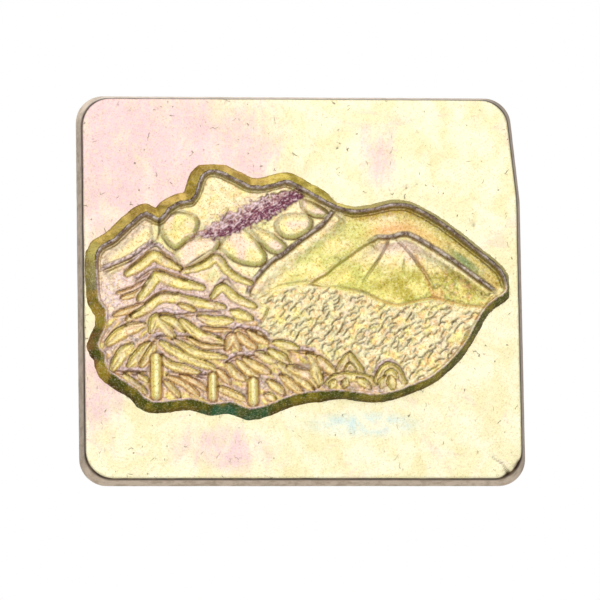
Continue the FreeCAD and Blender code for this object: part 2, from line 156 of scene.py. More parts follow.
def inside(x, z, line):
    """Whether each point is inside a closed line."""
    hit = np.zeros(x.shape, bool)
    for (ax, az), (bx, bz) in zip(line, np.roll(line, -1, axis=0)):
        if az == bz:
            continue
        cross = (az > z) != (bz > z)
        hit ^= cross & (x < (bx - ax) * (z - az) / (bz - az) + ax)
    return hit


# ---------------------------------------------------------------- the landscape's drawing

# The relief's outline, clockwise from its left end, as in the CAD model.
RIM = [
    (-18.0, 2.9), (-16.5, 4.1), (-14.7, 5.8), (-13.6, 6.5), (-12.5, 5.9),
    (-11.7, 6.8), (-10.7, 7.4), (-9.7, 7.6), (-9.2, 8.5), (-8.8, 9.7), (-8.0, 10.2),
    (-7.0, 10.1), (-5.2, 9.2), (-4.2, 8.8), (-3.0, 8.9), (-1.6, 9.3), (-0.8, 9.2),
    (0.1, 8.7), (1.7, 7.8), (3.0, 7.1), (4.6, 6.7), (6.2, 6.9), (7.8, 7.3), (9.4, 7.2),
    (10.9, 6.5), (12.9, 5.2), (15.3, 3.3), (17.2, 1.7), (17.8, 0.5), (17.8, -0.5),
    (17.0, -1.1), (15.9, -2.0), (14.2, -4.9), (12.8, -6.6), (11.1, -8.0), (9.3, -8.8),
    (7.6, -9.4), (5.9, -9.6), (3.5, -9.3), (1.4, -9.3), (-1.1, -9.7), (-3.1, -10.5),
    (-4.8, -10.9), (-6.4, -10.3), (-8.2, -10.5), (-9.8, -10.0), (-13.3, -10.3),
    (-14.6, -9.2), (-17.1, -7.5), (-17.4, -6.1), (-18.0, -5.2), (-17.3, -3.6),
    (-17.3, -2.1), (-17.9, -1.2),
]
SKYLINE = 28                # the outline's points up to this one are the skyline
WALL = 0.5                  # how far the side wall runs out from the rim
PEAK_WALL = 0.9             # the same above the left peaks
PEAKS = range(1, 19)
LOW_WALL = 0.75             # the same along the foot of the trees
LOW = range(39, 49)
END_WALL = 0.8              # the same at the left end, which reaches the plate's edge
ENDS = (49, 50, 51, 52, 53, 0)

# Ridge lines: a bead along the line and a drop on the side to its right.
# (points, bead half width, bead height, drop, flat, ramp, colour of the bead)
RIDGES = [
    ([(-4.7, -1.0), (-4.6, -0.5), (-4.3, 0.2), (-3.5, 1.2), (-2.6, 2.1), (-1.6, 2.7),
      (-0.5, 3.6), (0.7, 4.5), (1.8, 5.3), (3.0, 6.7)], 0.17, 0.12, 0.34, 0.25, 1.5, "crest"),
    ([(0.4, 0.1), (1.9, 1.0), (2.9, 1.8), (4.3, 2.8), (5.4, 3.6), (6.5, 4.1)],
     0.13, 0.05, 0.26, 0.1, 1.3, "rose"),
    ([(6.0, 3.9), (6.6, 4.2), (7.6, 4.2), (8.4, 4.4), (9.1, 4.5), (10.0, 4.1), (11.0, 3.5),
      (12.3, 2.7), (13.7, 1.7), (14.9, 0.8), (16.0, 0.0), (16.7, -0.6)],
     0.17, 0.12, 0.3, 0.15, 1.2, "crest"),
]
FOLDS = [
    (0.08, 0.18, [(7.6, 4.2), (6.9, 2.8), (6.1, 1.6), (5.3, 0.4)]),
    (0.09, 0.16, [(8.3, 4.2), (9.3, 3.0), (10.1, 1.9), (10.9, 0.8), (11.5, -0.4)]),
    (0.06, 0.05, [(8.9, 2.5), (8.8, 1.5), (9.2, 0.5)]),
    (0.07, 0.07, [(2.8, 2.5), (3.2, 2.3), (3.3, 1.9)]),
    (0.07, 0.08, [(-10.4, 1.5), (-9.1, 2.4), (-8.0, 3.1)]),
    (0.07, 0.10, [(-9.2, -0.4), (-8.4, -0.5), (-7.7, -1.1)]),
    (0.07, 0.10, [(-12.7, 6.0), (-12.4, 5.2), (-12.6, 4.0)]),
    (0.06, 0.08, [(-7.0, 5.6), (-6.4, 6.8)]),
    (0.09, 0.16, [(-3.0, -1.8), (-3.4, -2.8), (-4.3, -4.0)]),
    (0.09, 0.14, [(-0.2, -5.3), (0.9, -4.4), (1.8, -3.2)]),
]
# Rounded snow fields and rock faces, each a closed outline.
LOBES = [
    [(-11.2, 2.8), (-10.0, 3.9), (-8.7, 4.2), (-7.3, 4.0), (-7.6, 3.0), (-9.1, 2.0),
     (-10.4, 1.4), (-10.9, 2.0)],
    [(-12.4, 5.2), (-12.1, 6.0), (-11.2, 6.5), (-10.3, 6.5), (-9.1, 5.9), (-9.3, 4.5),
     (-10.2, 3.8), (-11.1, 3.2), (-12.0, 4.0)],
    [(-4.4, 5.0), (-3.3, 4.8), (-2.1, 4.2), (-1.4, 3.4), (-2.0, 2.8), (-2.8, 2.9), (-3.5, 3.6)],
    [(-7.2, 3.4), (-6.4, 4.4), (-5.3, 5.0), (-4.2, 4.2), (-3.2, 2.7), (-3.4, 1.9), (-4.2, 1.7),
     (-5.6, 2.0), (-6.7, 2.7)],
    [(-2.3, 5.5), (-2.0, 4.5), (-1.0, 4.1), (0.3, 4.6), (0.9, 5.4), (0.6, 6.2), (-0.6, 6.3),
     (-1.7, 6.1)],
    [(-0.1, 7.4), (0.4, 7.7), (2.2, 6.7), (2.2, 6.1), (1.0, 6.1), (0.3, 6.6)],
]
ROCK = [(-9.7, 4.2), (-9.1, 4.7), (-7.3, 5.9), (-5.9, 6.7), (-4.1, 7.6), (-1.9, 8.4),
        (-0.3, 8.6), (0.4, 7.8), (-0.2, 7.5), (-1.9, 6.4), (-3.3, 5.6), (-5.3, 4.9),
        (-7.3, 4.0), (-8.7, 4.2)]
HILL = [(-4.2, -1.4), (-3.1, -0.7), (-2.1, -0.2), (-1.2, 0.0), (0.6, 0.2), (2.0, -0.1),
        (4.5, -0.5), (5.6, -0.8), (6.5, -1.3), (8.2, -1.8), (10.0, -1.4), (11.5, -1.2),
        (14.0, -1.8), (15.8, -2.2), (14.2, -4.9), (12.7, -6.6), (11.1, -8.0), (9.3, -8.7),
        (8.5, -8.1), (7.4, -6.9), (6.4, -7.7), (5.1, -7.6), (4.1, -5.7), (3.0, -6.9),
        (2.1, -6.7), (1.1, -5.4), (-0.1, -5.7), (-1.4, -4.7), (-3.0, -4.7), (-4.1, -3.9),
        (-3.3, -2.7), (-3.0, -1.8)]
# Snow-laden crests of the trees: beads with a drop below them, left to right.
CRESTS = [
    [(-17.6, 1.3), (-16.4, 1.8), (-14.7, 2.6), (-12.8, 4.0)],
    [(-15.4, 1.5), (-14.3, 2.4), (-12.9, 3.5), (-12.0, 2.9), (-11.1, 2.3)],
    [(-14.8, 0.3), (-13.0, 1.5), (-11.2, 1.1), (-9.7, 0.4), (-9.1, 0.1)],
    [(-14.4, -1.9), (-12.5, -0.5), (-11.2, -0.6), (-8.3, -1.2), (-6.8, 0.6), (-5.8, -0.3)],
    [(-13.4, -2.7), (-12.2, -2.3), (-11.2, -2.5), (-9.3, -2.3), (-6.9, -2.2)],
    [(-13.3, -4.6), (-12.6, -4.4), (-10.8, -4.4), (-8.6, -4.4), (-7.0, -4.4)],
    [(-7.0, -5.0), (-5.8, -3.6), (-5.1, -3.8), (-3.9, -3.9), (-3.0, -4.7)],
    [(-7.1, -6.8), (-5.9, -6.1), (-4.7, -6.1), (-3.0, -5.7)],
    [(-12.1, -7.5), (-10.4, -7.6), (-8.3, -7.8)],
    [(-16.9, -7.4), (-15.6, -7.5), (-13.5, -7.5)],
    [(-17.3, -5.3), (-16.1, -4.0), (-15.4, -3.2)],
    [(1.1, -7.7), (2.0, -7.6), (2.7, -7.9)],
    [(6.0, -8.0), (6.6, -7.1), (7.3, -6.7), (8.0, -7.1), (8.6, -8.0)],
    [(-1.4, -5.6), (-0.4, -5.6), (0.5, -5.7), (1.0, -5.8)],
]
# Boughs: (half width, warmth, points from the left). Later ones lie over earlier ones.
BOUGHS = [
    (0.24, 0.0, [(-10.5, 1.2), (-8.7, 1.7), (-7.5, 2.4), (-6.7, 1.4), (-5.8, 0.7), (-4.6, 0.2)]),
    (0.30, 0.2, [(-15.3, 1.0), (-14.0, 1.8), (-12.9, 2.6), (-12.1, 2.1), (-10.8, 1.5)]),
    (0.18, 0.9, [(-16.1, -0.7), (-14.8, -0.4), (-13.3, 0.6)]),
    (0.18, 0.8, [(-15.7, -1.1), (-14.4, -0.7), (-13.2, 0.2)]),
    (0.32, 0.0, [(-14.2, -1.2), (-12.9, 0.5), (-12.5, 0.8), (-11.2, 0.3), (-8.8, -0.2)]),
    (0.20, 0.9, [(-16.4, -2.6), (-15.2, -2.2), (-13.9, -1.7)]),
    (0.20, 0.6, [(-15.3, -3.0), (-14.4, -2.5), (-13.6, -2.2)]),
    (0.30, 0.1, [(-14.8, -2.7), (-13.6, -2.0), (-12.5, -1.2), (-11.2, -1.1), (-9.3, -1.5),
                 (-7.0, -1.9)]),
    (0.18, 0.5, [(-10.8, -1.7), (-9.5, -2.2)]),
    (0.28, 0.0, [(-7.9, -1.0), (-7.0, -0.2), (-5.8, -1.2), (-4.3, -1.8)]),
    (0.34, 0.4, [(-17.0, -5.1), (-15.7, -4.1), (-14.0, -3.5)]),
    (0.32, 0.1, [(-13.2, -4.0), (-12.8, -3.0), (-12.0, -3.7), (-11.4, -4.4)]),
    (0.26, 0.1, [(-12.3, -2.8), (-11.3, -3.2), (-10.5, -4.0)]),
    (0.30, 0.1, [(-10.6, -3.1), (-9.3, -4.2), (-7.1, -5.0)]),
    (0.28, 0.1, [(-9.1, -2.8), (-7.9, -3.1), (-6.3, -3.1)]),
    (0.14, 1.0, [(-8.8, -3.7), (-7.7, -3.9), (-6.4, -3.9)]),
    (0.28, 0.0, [(-6.2, -2.3), (-4.6, -2.9)]),
    (0.32, 0.1, [(-16.6, -7.3), (-15.7, -5.9), (-15.0, -5.3)]),
    (0.28, 0.2, [(-15.2, -7.0), (-14.2, -5.9), (-13.5, -5.1)]),
    (0.24, 0.5, [(-14.1, -7.0), (-13.3, -5.9), (-13.0, -5.1)]),
    (0.26, 0.3, [(-12.4, -6.3), (-11.6, -7.0), (-9.3, -7.6)]),
    (0.28, 0.1, [(-12.4, -5.0), (-10.7, -6.1), (-8.0, -7.2)]),
    (0.24, 0.2, [(-11.2, -4.8), (-9.4, -5.9), (-6.9, -6.3)]),
    (0.16, 0.6, [(-10.0, -4.6), (-8.7, -5.3), (-7.0, -5.4)]),
    (0.27, 0.9, [(-6.7, -5.5), (-6.2, -4.5), (-5.7, -5.5)]),
    (0.27, 0.9, [(-5.7, -4.2), (-5.1, -4.9), (-4.3, -5.4)]),
    (0.24, 0.8, [(-4.8, -4.0), (-4.1, -4.6), (-3.2, -5.0)]),
    (0.27, 0.6, [(-6.7, -6.9), (-6.1, -7.7), (-5.3, -8.2)]),
    (0.25, 0.5, [(-5.8, -6.6), (-4.9, -7.5), (-4.1, -7.9)]),
    (0.27, 0.6, [(-5.2, -6.4), (-4.2, -7.1), (-3.1, -7.6)]),
    (0.22, 1.0, [(-7.5, -7.4), (-6.6, -8.5)]),
    (0.24, 0.6, [(-7.5, -9.0), (-6.3, -9.5), (-5.2, -10.0)]),
    (0.22, 0.2, [(-15.6, -7.9), (-14.7, -8.7), (-13.8, -9.4)]),
    (0.18, 0.3, [(-14.4, -7.8), (-13.6, -8.4)]),
    (0.20, 0.6, [(-12.1, -8.4), (-11.5, -9.0), (-10.9, -9.7)]),
    (0.22, 0.9, [(-11.8, -8.0), (-10.4, -8.7), (-9.3, -9.6)]),
    (0.20, 1.0, [(-10.7, -7.9), (-9.3, -8.6), (-8.6, -9.1)]),
    (0.26, 0.0, [(-4.1, -5.9), (-3.3, -6.4), (-2.6, -6.6)]),
    (0.26, 0.1, [(-3.0, -5.7), (-2.0, -6.3), (-1.4, -6.8)]),
    (0.24, 0.0, [(-2.6, -5.0), (-1.6, -5.2), (-0.6, -5.5)]),
    (0.26, 0.1, [(-2.2, -6.9), (-1.5, -7.5), (-0.7, -7.9)]),
    (0.22, 0.2, [(-0.9, -7.3), (0.4, -7.8)]),
    (0.27, 0.5, [(-3.1, -8.4), (-2.5, -8.9), (-1.9, -9.4)]),
    (0.27, 0.7, [(-2.0, -8.0), (-1.1, -8.7), (-0.3, -9.4)]),
    (0.26, 0.4, [(-0.9, -7.9), (0.0, -8.6), (0.6, -9.1)]),
    (0.22, 0.3, [(-3.4, -9.6), (-2.7, -9.9)]),
    (0.32, 0.4, [(-1.3, -7.2), (-0.3, -7.6), (0.6, -8.0), (1.0, -8.7)]),
    (0.34, 0.3, [(0.4, -6.1), (0.9, -6.6), (1.0, -7.5), (1.3, -8.5)]),
    (0.28, 0.5, [(1.3, -6.4), (1.8, -7.0), (2.6, -7.6)]),
    (0.22, 0.2, [(2.9, -7.5), (3.5, -6.7), (4.0, -6.0)]),
    (0.22, 0.1, [(4.0, -6.0), (4.4, -6.8), (5.1, -7.6)]),
    (0.12, 0.0, [(3.6, -7.4), (4.0, -6.9), (4.4, -7.4)]),
    (0.26, 0.1, [(2.0, -8.6), (2.7, -8.1), (3.9, -8.0), (5.5, -8.2), (6.1, -8.6)]),
    (0.22, 0.2, [(2.3, -8.9), (2.6, -8.4)]),
    (0.22, 0.2, [(3.5, -8.8), (3.6, -8.3)]),
    (0.24, 0.1, [(4.7, -8.2), (5.6, -8.9)]),
    (0.26, 0.1, [(6.3, -8.3), (6.8, -7.5), (7.4, -7.1), (8.0, -7.5), (8.7, -8.4)]),
    (0.20, 0.1, [(7.1, -7.9), (7.6, -7.6), (8.0, -8.0)]),
    (0.26, 0.3, [(6.7, -8.8), (7.0, -8.1)]),
    (0.26, 0.3, [(7.7, -8.9), (7.5, -8.1)]),
]
# Trunks: (x, top, foot, half width)
TRUNKS = [(-12.9, -6.4, -10.1, 0.5), (-8.0, -8.0, -10.2, 0.4), (-4.5, -8.5, -10.6, 0.48)]

FILM_AND_SHADE = {                    # colours of the chromate and of the light and shade painted onto it, as the display shows them
    "pale": tone(252, 243, 196),
    "rose": tone(252, 220, 206),
    "lilac": tone(240, 214, 220),
    "crest": tone(196, 182, 178),
    "gold": tone(252, 238, 132),
    "amber": tone(246, 200, 136),
    "olive": tone(186, 170, 62),
    "leaf": tone(206, 208, 112),
    "rust": tone(214, 150, 84),
    "brown": tone(90, 60, 44),
    "dark": tone(62, 50, 40),
    "moss": tone(96, 102, 34),
    "teal": tone(52, 122, 100),
    "purple": tone(178, 124, 140),
    "plum": tone(116, 62, 84),
}


class Relief:
    """The relief's height above the plate and its colour, the chromate's own and painted light and
    shade, on one regular grid.
    """

    def __init__(self):
        low = np.array(SHEET_LOW)
        count = tuple(int(size / PITCH) for size in SHEET_SIZE)
        self.low = low
        axes = [low[a] + PITCH * np.arange(count[a]) for a in (0, 1)]
        self.x, self.z = np.meshgrid(*axes, indexing="ij")
        self.height = np.ones(count)
        self.film_and_shade = np.ones(count + (3,)) * FILM_AND_SHADE["pale"]

    def window(self, line, margin):
        """The part of the grid near a line."""
        low = (line.min(0) - margin - self.low) / PITCH
        high = (line.max(0) + margin - self.low) / PITCH
        limits = zip(low, high, self.height.shape)
        return tuple(slice(max(0, int(a)), min(n, int(b) + 2)) for a, b, n in limits)

    def paint(self, where, colour, amount):
        """Lay a colour, of the chromate or of painted light and shade, over a window of the grid.
        """
        amount = np.clip(amount, 0, 1)[..., None]
        self.film_and_shade[where] = self.film_and_shade[where] * (1 - amount) + FILM_AND_SHADE[colour] * amount


def ridge(relief, points, bead, lift, drop, flat, ramp, colour, line_tone="brown"):
    """A granular ridge line with a drop on its right-hand side."""
    line = curve(points)
    where = relief.window(line, flat + ramp + 0.3)
    x, z = relief.x[where], relief.z[where]
    far, side, along = nearest(x, z, line)
    wander = 0.03 * lattice(x, z, 0.35, 11)
    t = -side * far + wander
    ends = smooth(along, 0, 0.06) * (1 - smooth(along, 0.96, 1.0))
    near_end = np.where((along <= 0) | (along >= 1), hump(far, 0, 0.25), 1)
    fade = np.maximum(ends, 0.35) * near_end
    fall = smooth(t, 0.0, 0.12) * (1 - smooth(t, flat, flat + ramp))
    relief.height[where] -= drop * fall * fade
    crown = np.exp(-((t + bead) / bead) ** 4)
    relief.height[where] += lift * crown * fade
    relief.paint(where, colour, crown * fade * 0.85)
    beads = smooth(rough(x, z, 0.4, 12, 4), -0.25, 0.35)
    relief.paint(where, line_tone, crown * fade * beads * 0.85)
    # painted shade: a dark line on the drop, and a fainter one along the bead's outer foot
    relief.paint(where, line_tone, hump(t, 0.03, 0.07) * fade * 0.9)
    relief.paint(where, line_tone, hump(t, -2 * bead, 0.05) * fade * 0.35)


def fold(relief, half, depth, points):
    """A narrow groove that fades out along its length."""
    line = curve(points)
    where = relief.window(line, 0.5)
    far, _, along = nearest(relief.x[where], relief.z[where], line)
    taper = np.minimum(smooth(along, 0, 0.1), 1 - 0.6 * smooth(along, 0.6, 1))
    cut = hump(far, 0, half) * np.clip(taper, 0.3, 1)
    relief.height[where] -= depth * cut
    # painted shade: the groove is darkened along its length
    relief.paint(where, "brown", cut * 0.85)


def lobe(relief, outline, number):
    """A rounded snow field or rock face with a sunken foot; painted shade tints its rim olive and
    darkens the foot, most on the lower side.
    """
    line = curve(outline, closed=True)
    where = relief.window(line, 0.5)
    x, z = relief.x[where], relief.z[where]
    far, _, _ = nearest(x, z, line, closed=True)
    deep = np.where(inside(x, z, line), far, -far) + 0.03 * lattice(x, z, 0.4, 30 + number)
    centre = line.mean(0)
    low_side = smooth((centre[1] - z) + 0.5 * (x - centre[0]), -0.7, 0.6)
    relief.height[where] += smooth(deep, -0.02, 0.4) * (0.10 + 0.07 * low_side)
    edge = hump(deep, -0.04, 0.06)
    relief.height[where] -= 0.10 * edge
    rim = smooth(deep, 0, 0.1) * (1 - smooth(deep, 0.12, 0.45))
    body = smooth(deep, 0.0, 0.2)
    relief.paint(where, "gold", body * 0.3)
    relief.paint(where, "rose", body * smooth(lattice(x, z, 0.9, 35 + number), -0.5, 0.5) * 0.8)
    # painted shade on the lobe's lower side: its rim olive-green and its foot dark
    relief.paint(where, "leaf", rim * low_side * 0.75)
    relief.paint(where, "olive", hump(deep, -0.02, 0.10) * low_side * 0.6)
    relief.paint(where, "brown", edge * (0.35 + 0.6 * low_side))


def bough(relief, half, warmth, points, number):
    """One snow-laden bough, parted along its middle where it is long."""
    line = curve(points, step=0.2)
    where = relief.window(line, half + 0.5)
    x, z = relief.x[where], relief.z[where]
    far, side, along = nearest(x, z, line)
    width = half * (1.55 - 0.75 * np.abs(2 * along - 1) ** 3)
    width = width + 0.05 * lattice(x, z, 0.4, number) + 0.03 * lattice(x, z, 0.18, number + 200)
    t = side * far
    u = t / width
    body = smooth(1 - np.abs(u), -0.10, 0.12)
    shape = BOUGH_EDGE - 0.10 * np.clip(u, -1, 1) + 0.20 * np.sqrt(np.clip(1 - u ** 4, 0, 1))
    shape = shape + 0.025 * lattice(x, z, 0.25, number + 300)
    relief.height[where] = relief.height[where] * (1 - body) + shape * body
    gap = np.where(t > 0, 0.075, 0.055)
    deep = np.where(t > 0, 0.20, 0.09)
    trench = hump(far - width, 0.45 * gap, 0.62 * gap)
    relief.height[where] -= deep * trench * (1 - body * 0.6)
    parting = u - 0.1 - 0.3 * lattice(x, z, 0.9, number + 500)
    split = hump(parting, 0, 0.15) * body * smooth(-z, 2.0, 3.0)
    reach = np.hypot(*np.diff(line, axis=0).T).sum()
    split = split * smooth(np.abs(2 * along - 1), 0.05, 0.5) * smooth(reach, 1.8, 2.8)
    relief.height[where] -= 0.05 * split
    beyond = smooth(far, width, width + 0.1) * (1 - smooth(far, width + 0.16, width + 0.42))
    relief.height[where] += 0.05 * beyond * (t > 0)
    relief.paint(where, "gold", body)
    relief.paint(where, "amber", body * (0.15 + 0.75 * warmth))
    # painted highlight: a pale streak along the bough's crown
    relief.paint(where, "pale", body * hump(u, -0.1, 0.45) * 0.6)
    relief.paint(where, "rose", body * smooth(lattice(x, z, 0.8, number + 400), 0, 0.7) * 0.5)
    relief.paint(where, "rose", beyond * (0.55 - 0.4 * smooth(-z, 1.0, 3.0)))
    # painted shade: the trench round the bough, darkest on its upper side
    relief.paint(where, "brown", trench * np.where(t > 0, 0.95, 0.6))
    # painted light and shade on the flanks: green on the upper flank, which faces up, darker rust
    # on the lower one
    relief.paint(where, "leaf", body * smooth(u, 0.1, 0.9) * (1 - warmth) * 0.5)
    relief.paint(where, "rust", body * smooth(-u, 0.35, 0.95) * (0.2 + 0.4 * warmth))
    # painted shade in the parting groove
    relief.paint(where, "rust", split * 0.5)


def trunk(relief, x0, top, foot, half):
    """An upright tree trunk with a lip round its foot."""
    line = np.array([(x0, foot + half), (x0 + 0.03, top)])
    where = relief.window(line, half + 0.5)
    x, z = relief.x[where], relief.z[where]
    far, _, _ = nearest(x, z, line)
    u = far / half
    body = smooth(1 - u, -0.12, 0.06)
    relief.height[where] = relief.height[where] * (1 - body) + body * (
        0.98 + 0.30 * np.sqrt(np.clip(1 - u * u, 0, 1)))
    lip = hump(far - half, 0.12, 0.08) * smooth(foot + 1.2 - z, 0, 0.8)
    relief.height[where] += 0.06 * lip - 0.16 * hump(far - half, 0.02, 0.07)
    relief.paint(where, "gold", body)
    # painted shade on the trunk's rounded flanks, a painted highlight down its middle, and painted
    # shade in the groove round it
    relief.paint(where, "amber", body * smooth(u, 0.4, 1.0) * 0.7)
    relief.paint(where, "pale", body * hump(x - x0, 0.05, 0.16) * 0.9)
    relief.paint(where, "brown", hump(far - half, 0.02, 0.055) * 0.8)
    relief.paint(where, "rose", lip)


def crest(relief, points, number):
    """A beaded crest of snow over the boughs."""
    line = curve(points, step=0.25)
    where = relief.window(line, 0.9)
    x, z = relief.x[where], relief.z[where]
    far, side, along = nearest(x, z, line)
    t = side * far + 0.03 * lattice(x, z, 0.25, 60 + number)
    fade = np.clip(smooth(along, 0, 0.08) * (1 - smooth(along, 0.92, 1)), 0.3, 1)
    fade = fade * np.where((along <= 0) | (along >= 1), hump(far, 0, 0.2), 1)
    bead = np.exp(-((t - 0.13) / 0.17) ** 4)
    beads = 0.7 + 0.5 * lattice(x, z, 0.16, 90 + number)
    relief.height[where] += 0.10 * bead * beads * fade
    relief.height[where] -= 0.20 * smooth(-t, 0.0, 0.1) * (1 - smooth(-t, 0.14, 0.5)) * fade
    relief.paint(where, "lilac", bead * fade * 0.8)
    relief.paint(where, "brown", bead * fade * smooth(0.7 - beads, 0, 0.3) * 0.7)
    # painted shade: a dark line on the drop below the bead, and a fainter one along its upper foot
    relief.paint(where, "brown", hump(t, -0.05, 0.065) * fade * 0.85)
    relief.paint(where, "brown", hump(t, 0.33, 0.05) * fade * 0.35)


def dash(relief, x0, z0, angle, length, strength, bend):
    """One short cut mark of the hillside."""
    run = np.array([math.cos(angle), math.sin(angle)])
    across = np.array([-run[1], run[0]])
    start = np.array([x0, z0])
    line = curve([start - run * length / 2 - across * bend, start + across * bend,
                  start + run * length / 2 - across * bend], step=0.25)
    where = relief.window(line, 0.45)
    far, side, along = nearest(relief.x[where], relief.z[where], line)
    t = side * far
    fade = np.where((along <= 0) | (along >= 1), hump(far, 0, 0.08), 1)
    cut = hump(t, -0.02, 0.05) * fade * strength
    bead = hump(t, 0.16, 0.12) * fade * strength
    relief.height[where] += 0.05 * bead - 0.10 * cut
    relief.height[where] -= 0.05 * hump(t, -0.18, 0.16) * fade * strength
    # painted highlight on the bead beside the cut, and painted shade in the cut
    relief.paint(where, "pale", bead * 0.7)
    relief.paint(where, "dark", cut * 0.95)


def draw_relief():
    """Everything that is struck into the relief, from its rim to the last bough."""
    r = Relief()
    x, z = r.x, r.z

    def lay(colour, amount):
        r.paint((slice(None), slice(None)), colour, amount)

    rim = curve(RIM, step=0.6, closed=True)
    far, _, along = nearest(x, z, rim, closed=True)
    within = inside(x, z, rim)
    deep = np.where(within, far, -far)

    lengths = np.hypot(*np.diff(np.vstack([RIM, RIM[:1]]), axis=0).T)
    parts = np.maximum(2, (lengths / 0.6).astype(int))
    knots = np.concatenate([[0], np.cumsum(parts)]) / parts.sum()
    wall = np.array([PEAK_WALL if k in PEAKS else LOW_WALL if k in LOW
                     else END_WALL if k in ENDS else WALL for k in range(len(RIM))])
    sky = np.array([1.0 if k <= SKYLINE else 0.0 for k in range(len(RIM))])
    wall = np.interp(along, knots, np.append(wall, wall[0]))
    sky = np.interp(along, knots, np.append(sky, sky[0]))

    # field: sunken inside the skyline, then rising evenly away from it
    rise = smooth(deep, 0.5, 2.4)
    field = 0.84 + 0.2 * rise
    r.height = sky * field + (1 - sky) * 1.05
    r.height = blur(r.height, 3)
    r.height += 0.025 * rough(x, z, 1.1, 1) + 0.02 * rough(x, z, 0.24, 5)

    # broad colour of the field
    patch = rough(x, z, 2.4, 40)
    lay("rose", smooth(patch, 0.05, 0.8) * 0.5)
    lay("gold", smooth(rough(x, z, 0.5, 41), -0.2, 0.7) * 0.55)
    lay("leaf", smooth(rough(x, z, 1.8, 44), 0.0, 0.7) * 0.4)
    lay("amber", smooth(rough(x, z, 0.3, 45), -0.2, 0.5) * 0.5)

    # left hill, bright inside its rim
    left_hill = smooth(-12.9 - x, -0.1, 0.5) * smooth(z - 0.2 - 0.62 * (x + 17.7), -0.2, 0.4)
    r.height += 0.10 * left_hill * smooth(deep, 0.6, 1.3)
    lay("rose", left_hill * 0.5)
    lay("gold", left_hill * smooth(deep, 0.9, 1.6) * 0.4)

    # rock face over the snow fields
    rock = curve(ROCK, closed=True)
    rock_far, _, _ = nearest(x, z, rock, closed=True)
    rock_deep = np.where(inside(x, z, rock), rock_far, -rock_far)
    for number, outline in enumerate(LOBES):
        lobe(r, outline, number)
    run_x, run_z = x * 0.86 + z * 0.51, -x * 0.51 + z * 0.86
    grit = lattice(run_x * 0.3, run_z, 0.11, 70) * 0.55 + lattice(x, z, 0.10, 71) * 0.6
    rise_up = smooth(z - 0.55 * x, 8.0, 9.6) + 0.35 * lattice(x, z, 0.3, 73)
    band = smooth(rock_deep + 0.28 * lattice(x, z, 0.25, 72), -0.05, 0.25)
    r.height += band * (0.10 + 0.09 * grit)
    lay("purple", band * (1 - 0.25 * rise_up))
    lay("plum", band * smooth(-grit + 0.55 - 0.7 * rise_up, 0.1, 0.6) * 0.9)
    lay("lilac", band * smooth(grit + 0.4 * rise_up, 0.25, 0.6) * 0.85)
    above = smooth(rock_deep, -1.1, -0.2) * (1 - band) * smooth(z - 0.55 * x, 8.6, 9.4)
    r.height += above * 0.05 * grit
    lay("rose", above * smooth(grit, -0.2, 0.5) * 0.6)

    for spec in RIDGES:
        ridge(r, *spec)
    for half, depth, points in FOLDS:
        fold(r, half, depth, points)

    # band under the right skyline: pale, then amber, then green
    over = within * smooth(x, 1.5, 4.0)
    peak_line = curve(RIDGES[2][0])
    peak_far, peak_side, _ = nearest(x, z, peak_line)
    upper = over * (peak_side > 0) * smooth(deep, 0.55, 0.9) * smooth(peak_far, 0.25, 0.5)
    upper = upper * smooth(z + 0.62 * x, 6.5, 8.5)
    lay("amber", upper * (1 - smooth(peak_far, 0.5, 1.9)) * 0.85)
    lay("rust", upper * hump(peak_far, 0.75, 0.3) * 0.45)
    lay("olive", upper * smooth(peak_far, 0.9, 1.8) * smooth(x, 6, 10) * 0.35)
    lay("gold", upper * smooth(x, 8, 12) * 0.4)
    low_band = hump(x, 14.2, 1.5) * smooth(1.3 - peak_far, 0, 0.5)
    lay("leaf", upper * low_band * 0.7)
    lay("teal", upper * low_band * 0.6)
    fan = over * (peak_side < 0) * smooth(peak_far, 0.25, 0.6) * smooth(z, -2.2, -1.6)
    low_fan = smooth(2.6 - z, 0, 2.2) * fan
    lay("gold", low_fan * 0.7)
    lay("leaf", low_fan * smooth(rough(x, z, 1.3, 46), -0.4, 0.4) * 0.9)
    lay("olive", low_fan * smooth(rough(x, z, 0.9, 49), -0.3, 0.5) * 0.8)
    flecks = smooth(lattice(x, z, 0.19, 53), 0.1, 0.6) * smooth(x - 10.3, 0, 0.8)
    lay("brown", low_fan * flecks * 0.5)
    lay("rose", fan * smooth(z, 2.2, 3.6) * 0.7)
    rust = smooth(x, 9.5, 12.5) * smooth(rough(x, z, 0.5, 47), -0.2, 0.5)
    lay("amber", low_fan * rust * 0.7)
    streak, _, _ = nearest(x, z, curve([(9.9, 2.6), (10.5, 1.5), (11.4, -0.9)]))
    lay("rust", hump(streak, 0, 0.22) * 0.55)
    slope_far, slope_side, _ = nearest(x, z, curve(RIDGES[0][0]))
    lee = within * (slope_side < 0) * smooth(slope_far, 0.3, 1.0) * smooth(7.5 - x, 0, 3)
    lay("gold", lee * smooth(slope_far, 0.5, 2.0) * 0.45)
    lay("leaf", lee * smooth(rough(x, z, 1.2, 48) + 0.2, -0.1, 0.5) * 0.6)
    lay("rose", lee * (1 - smooth(slope_far, 0.2, 0.9)) * 0.6)

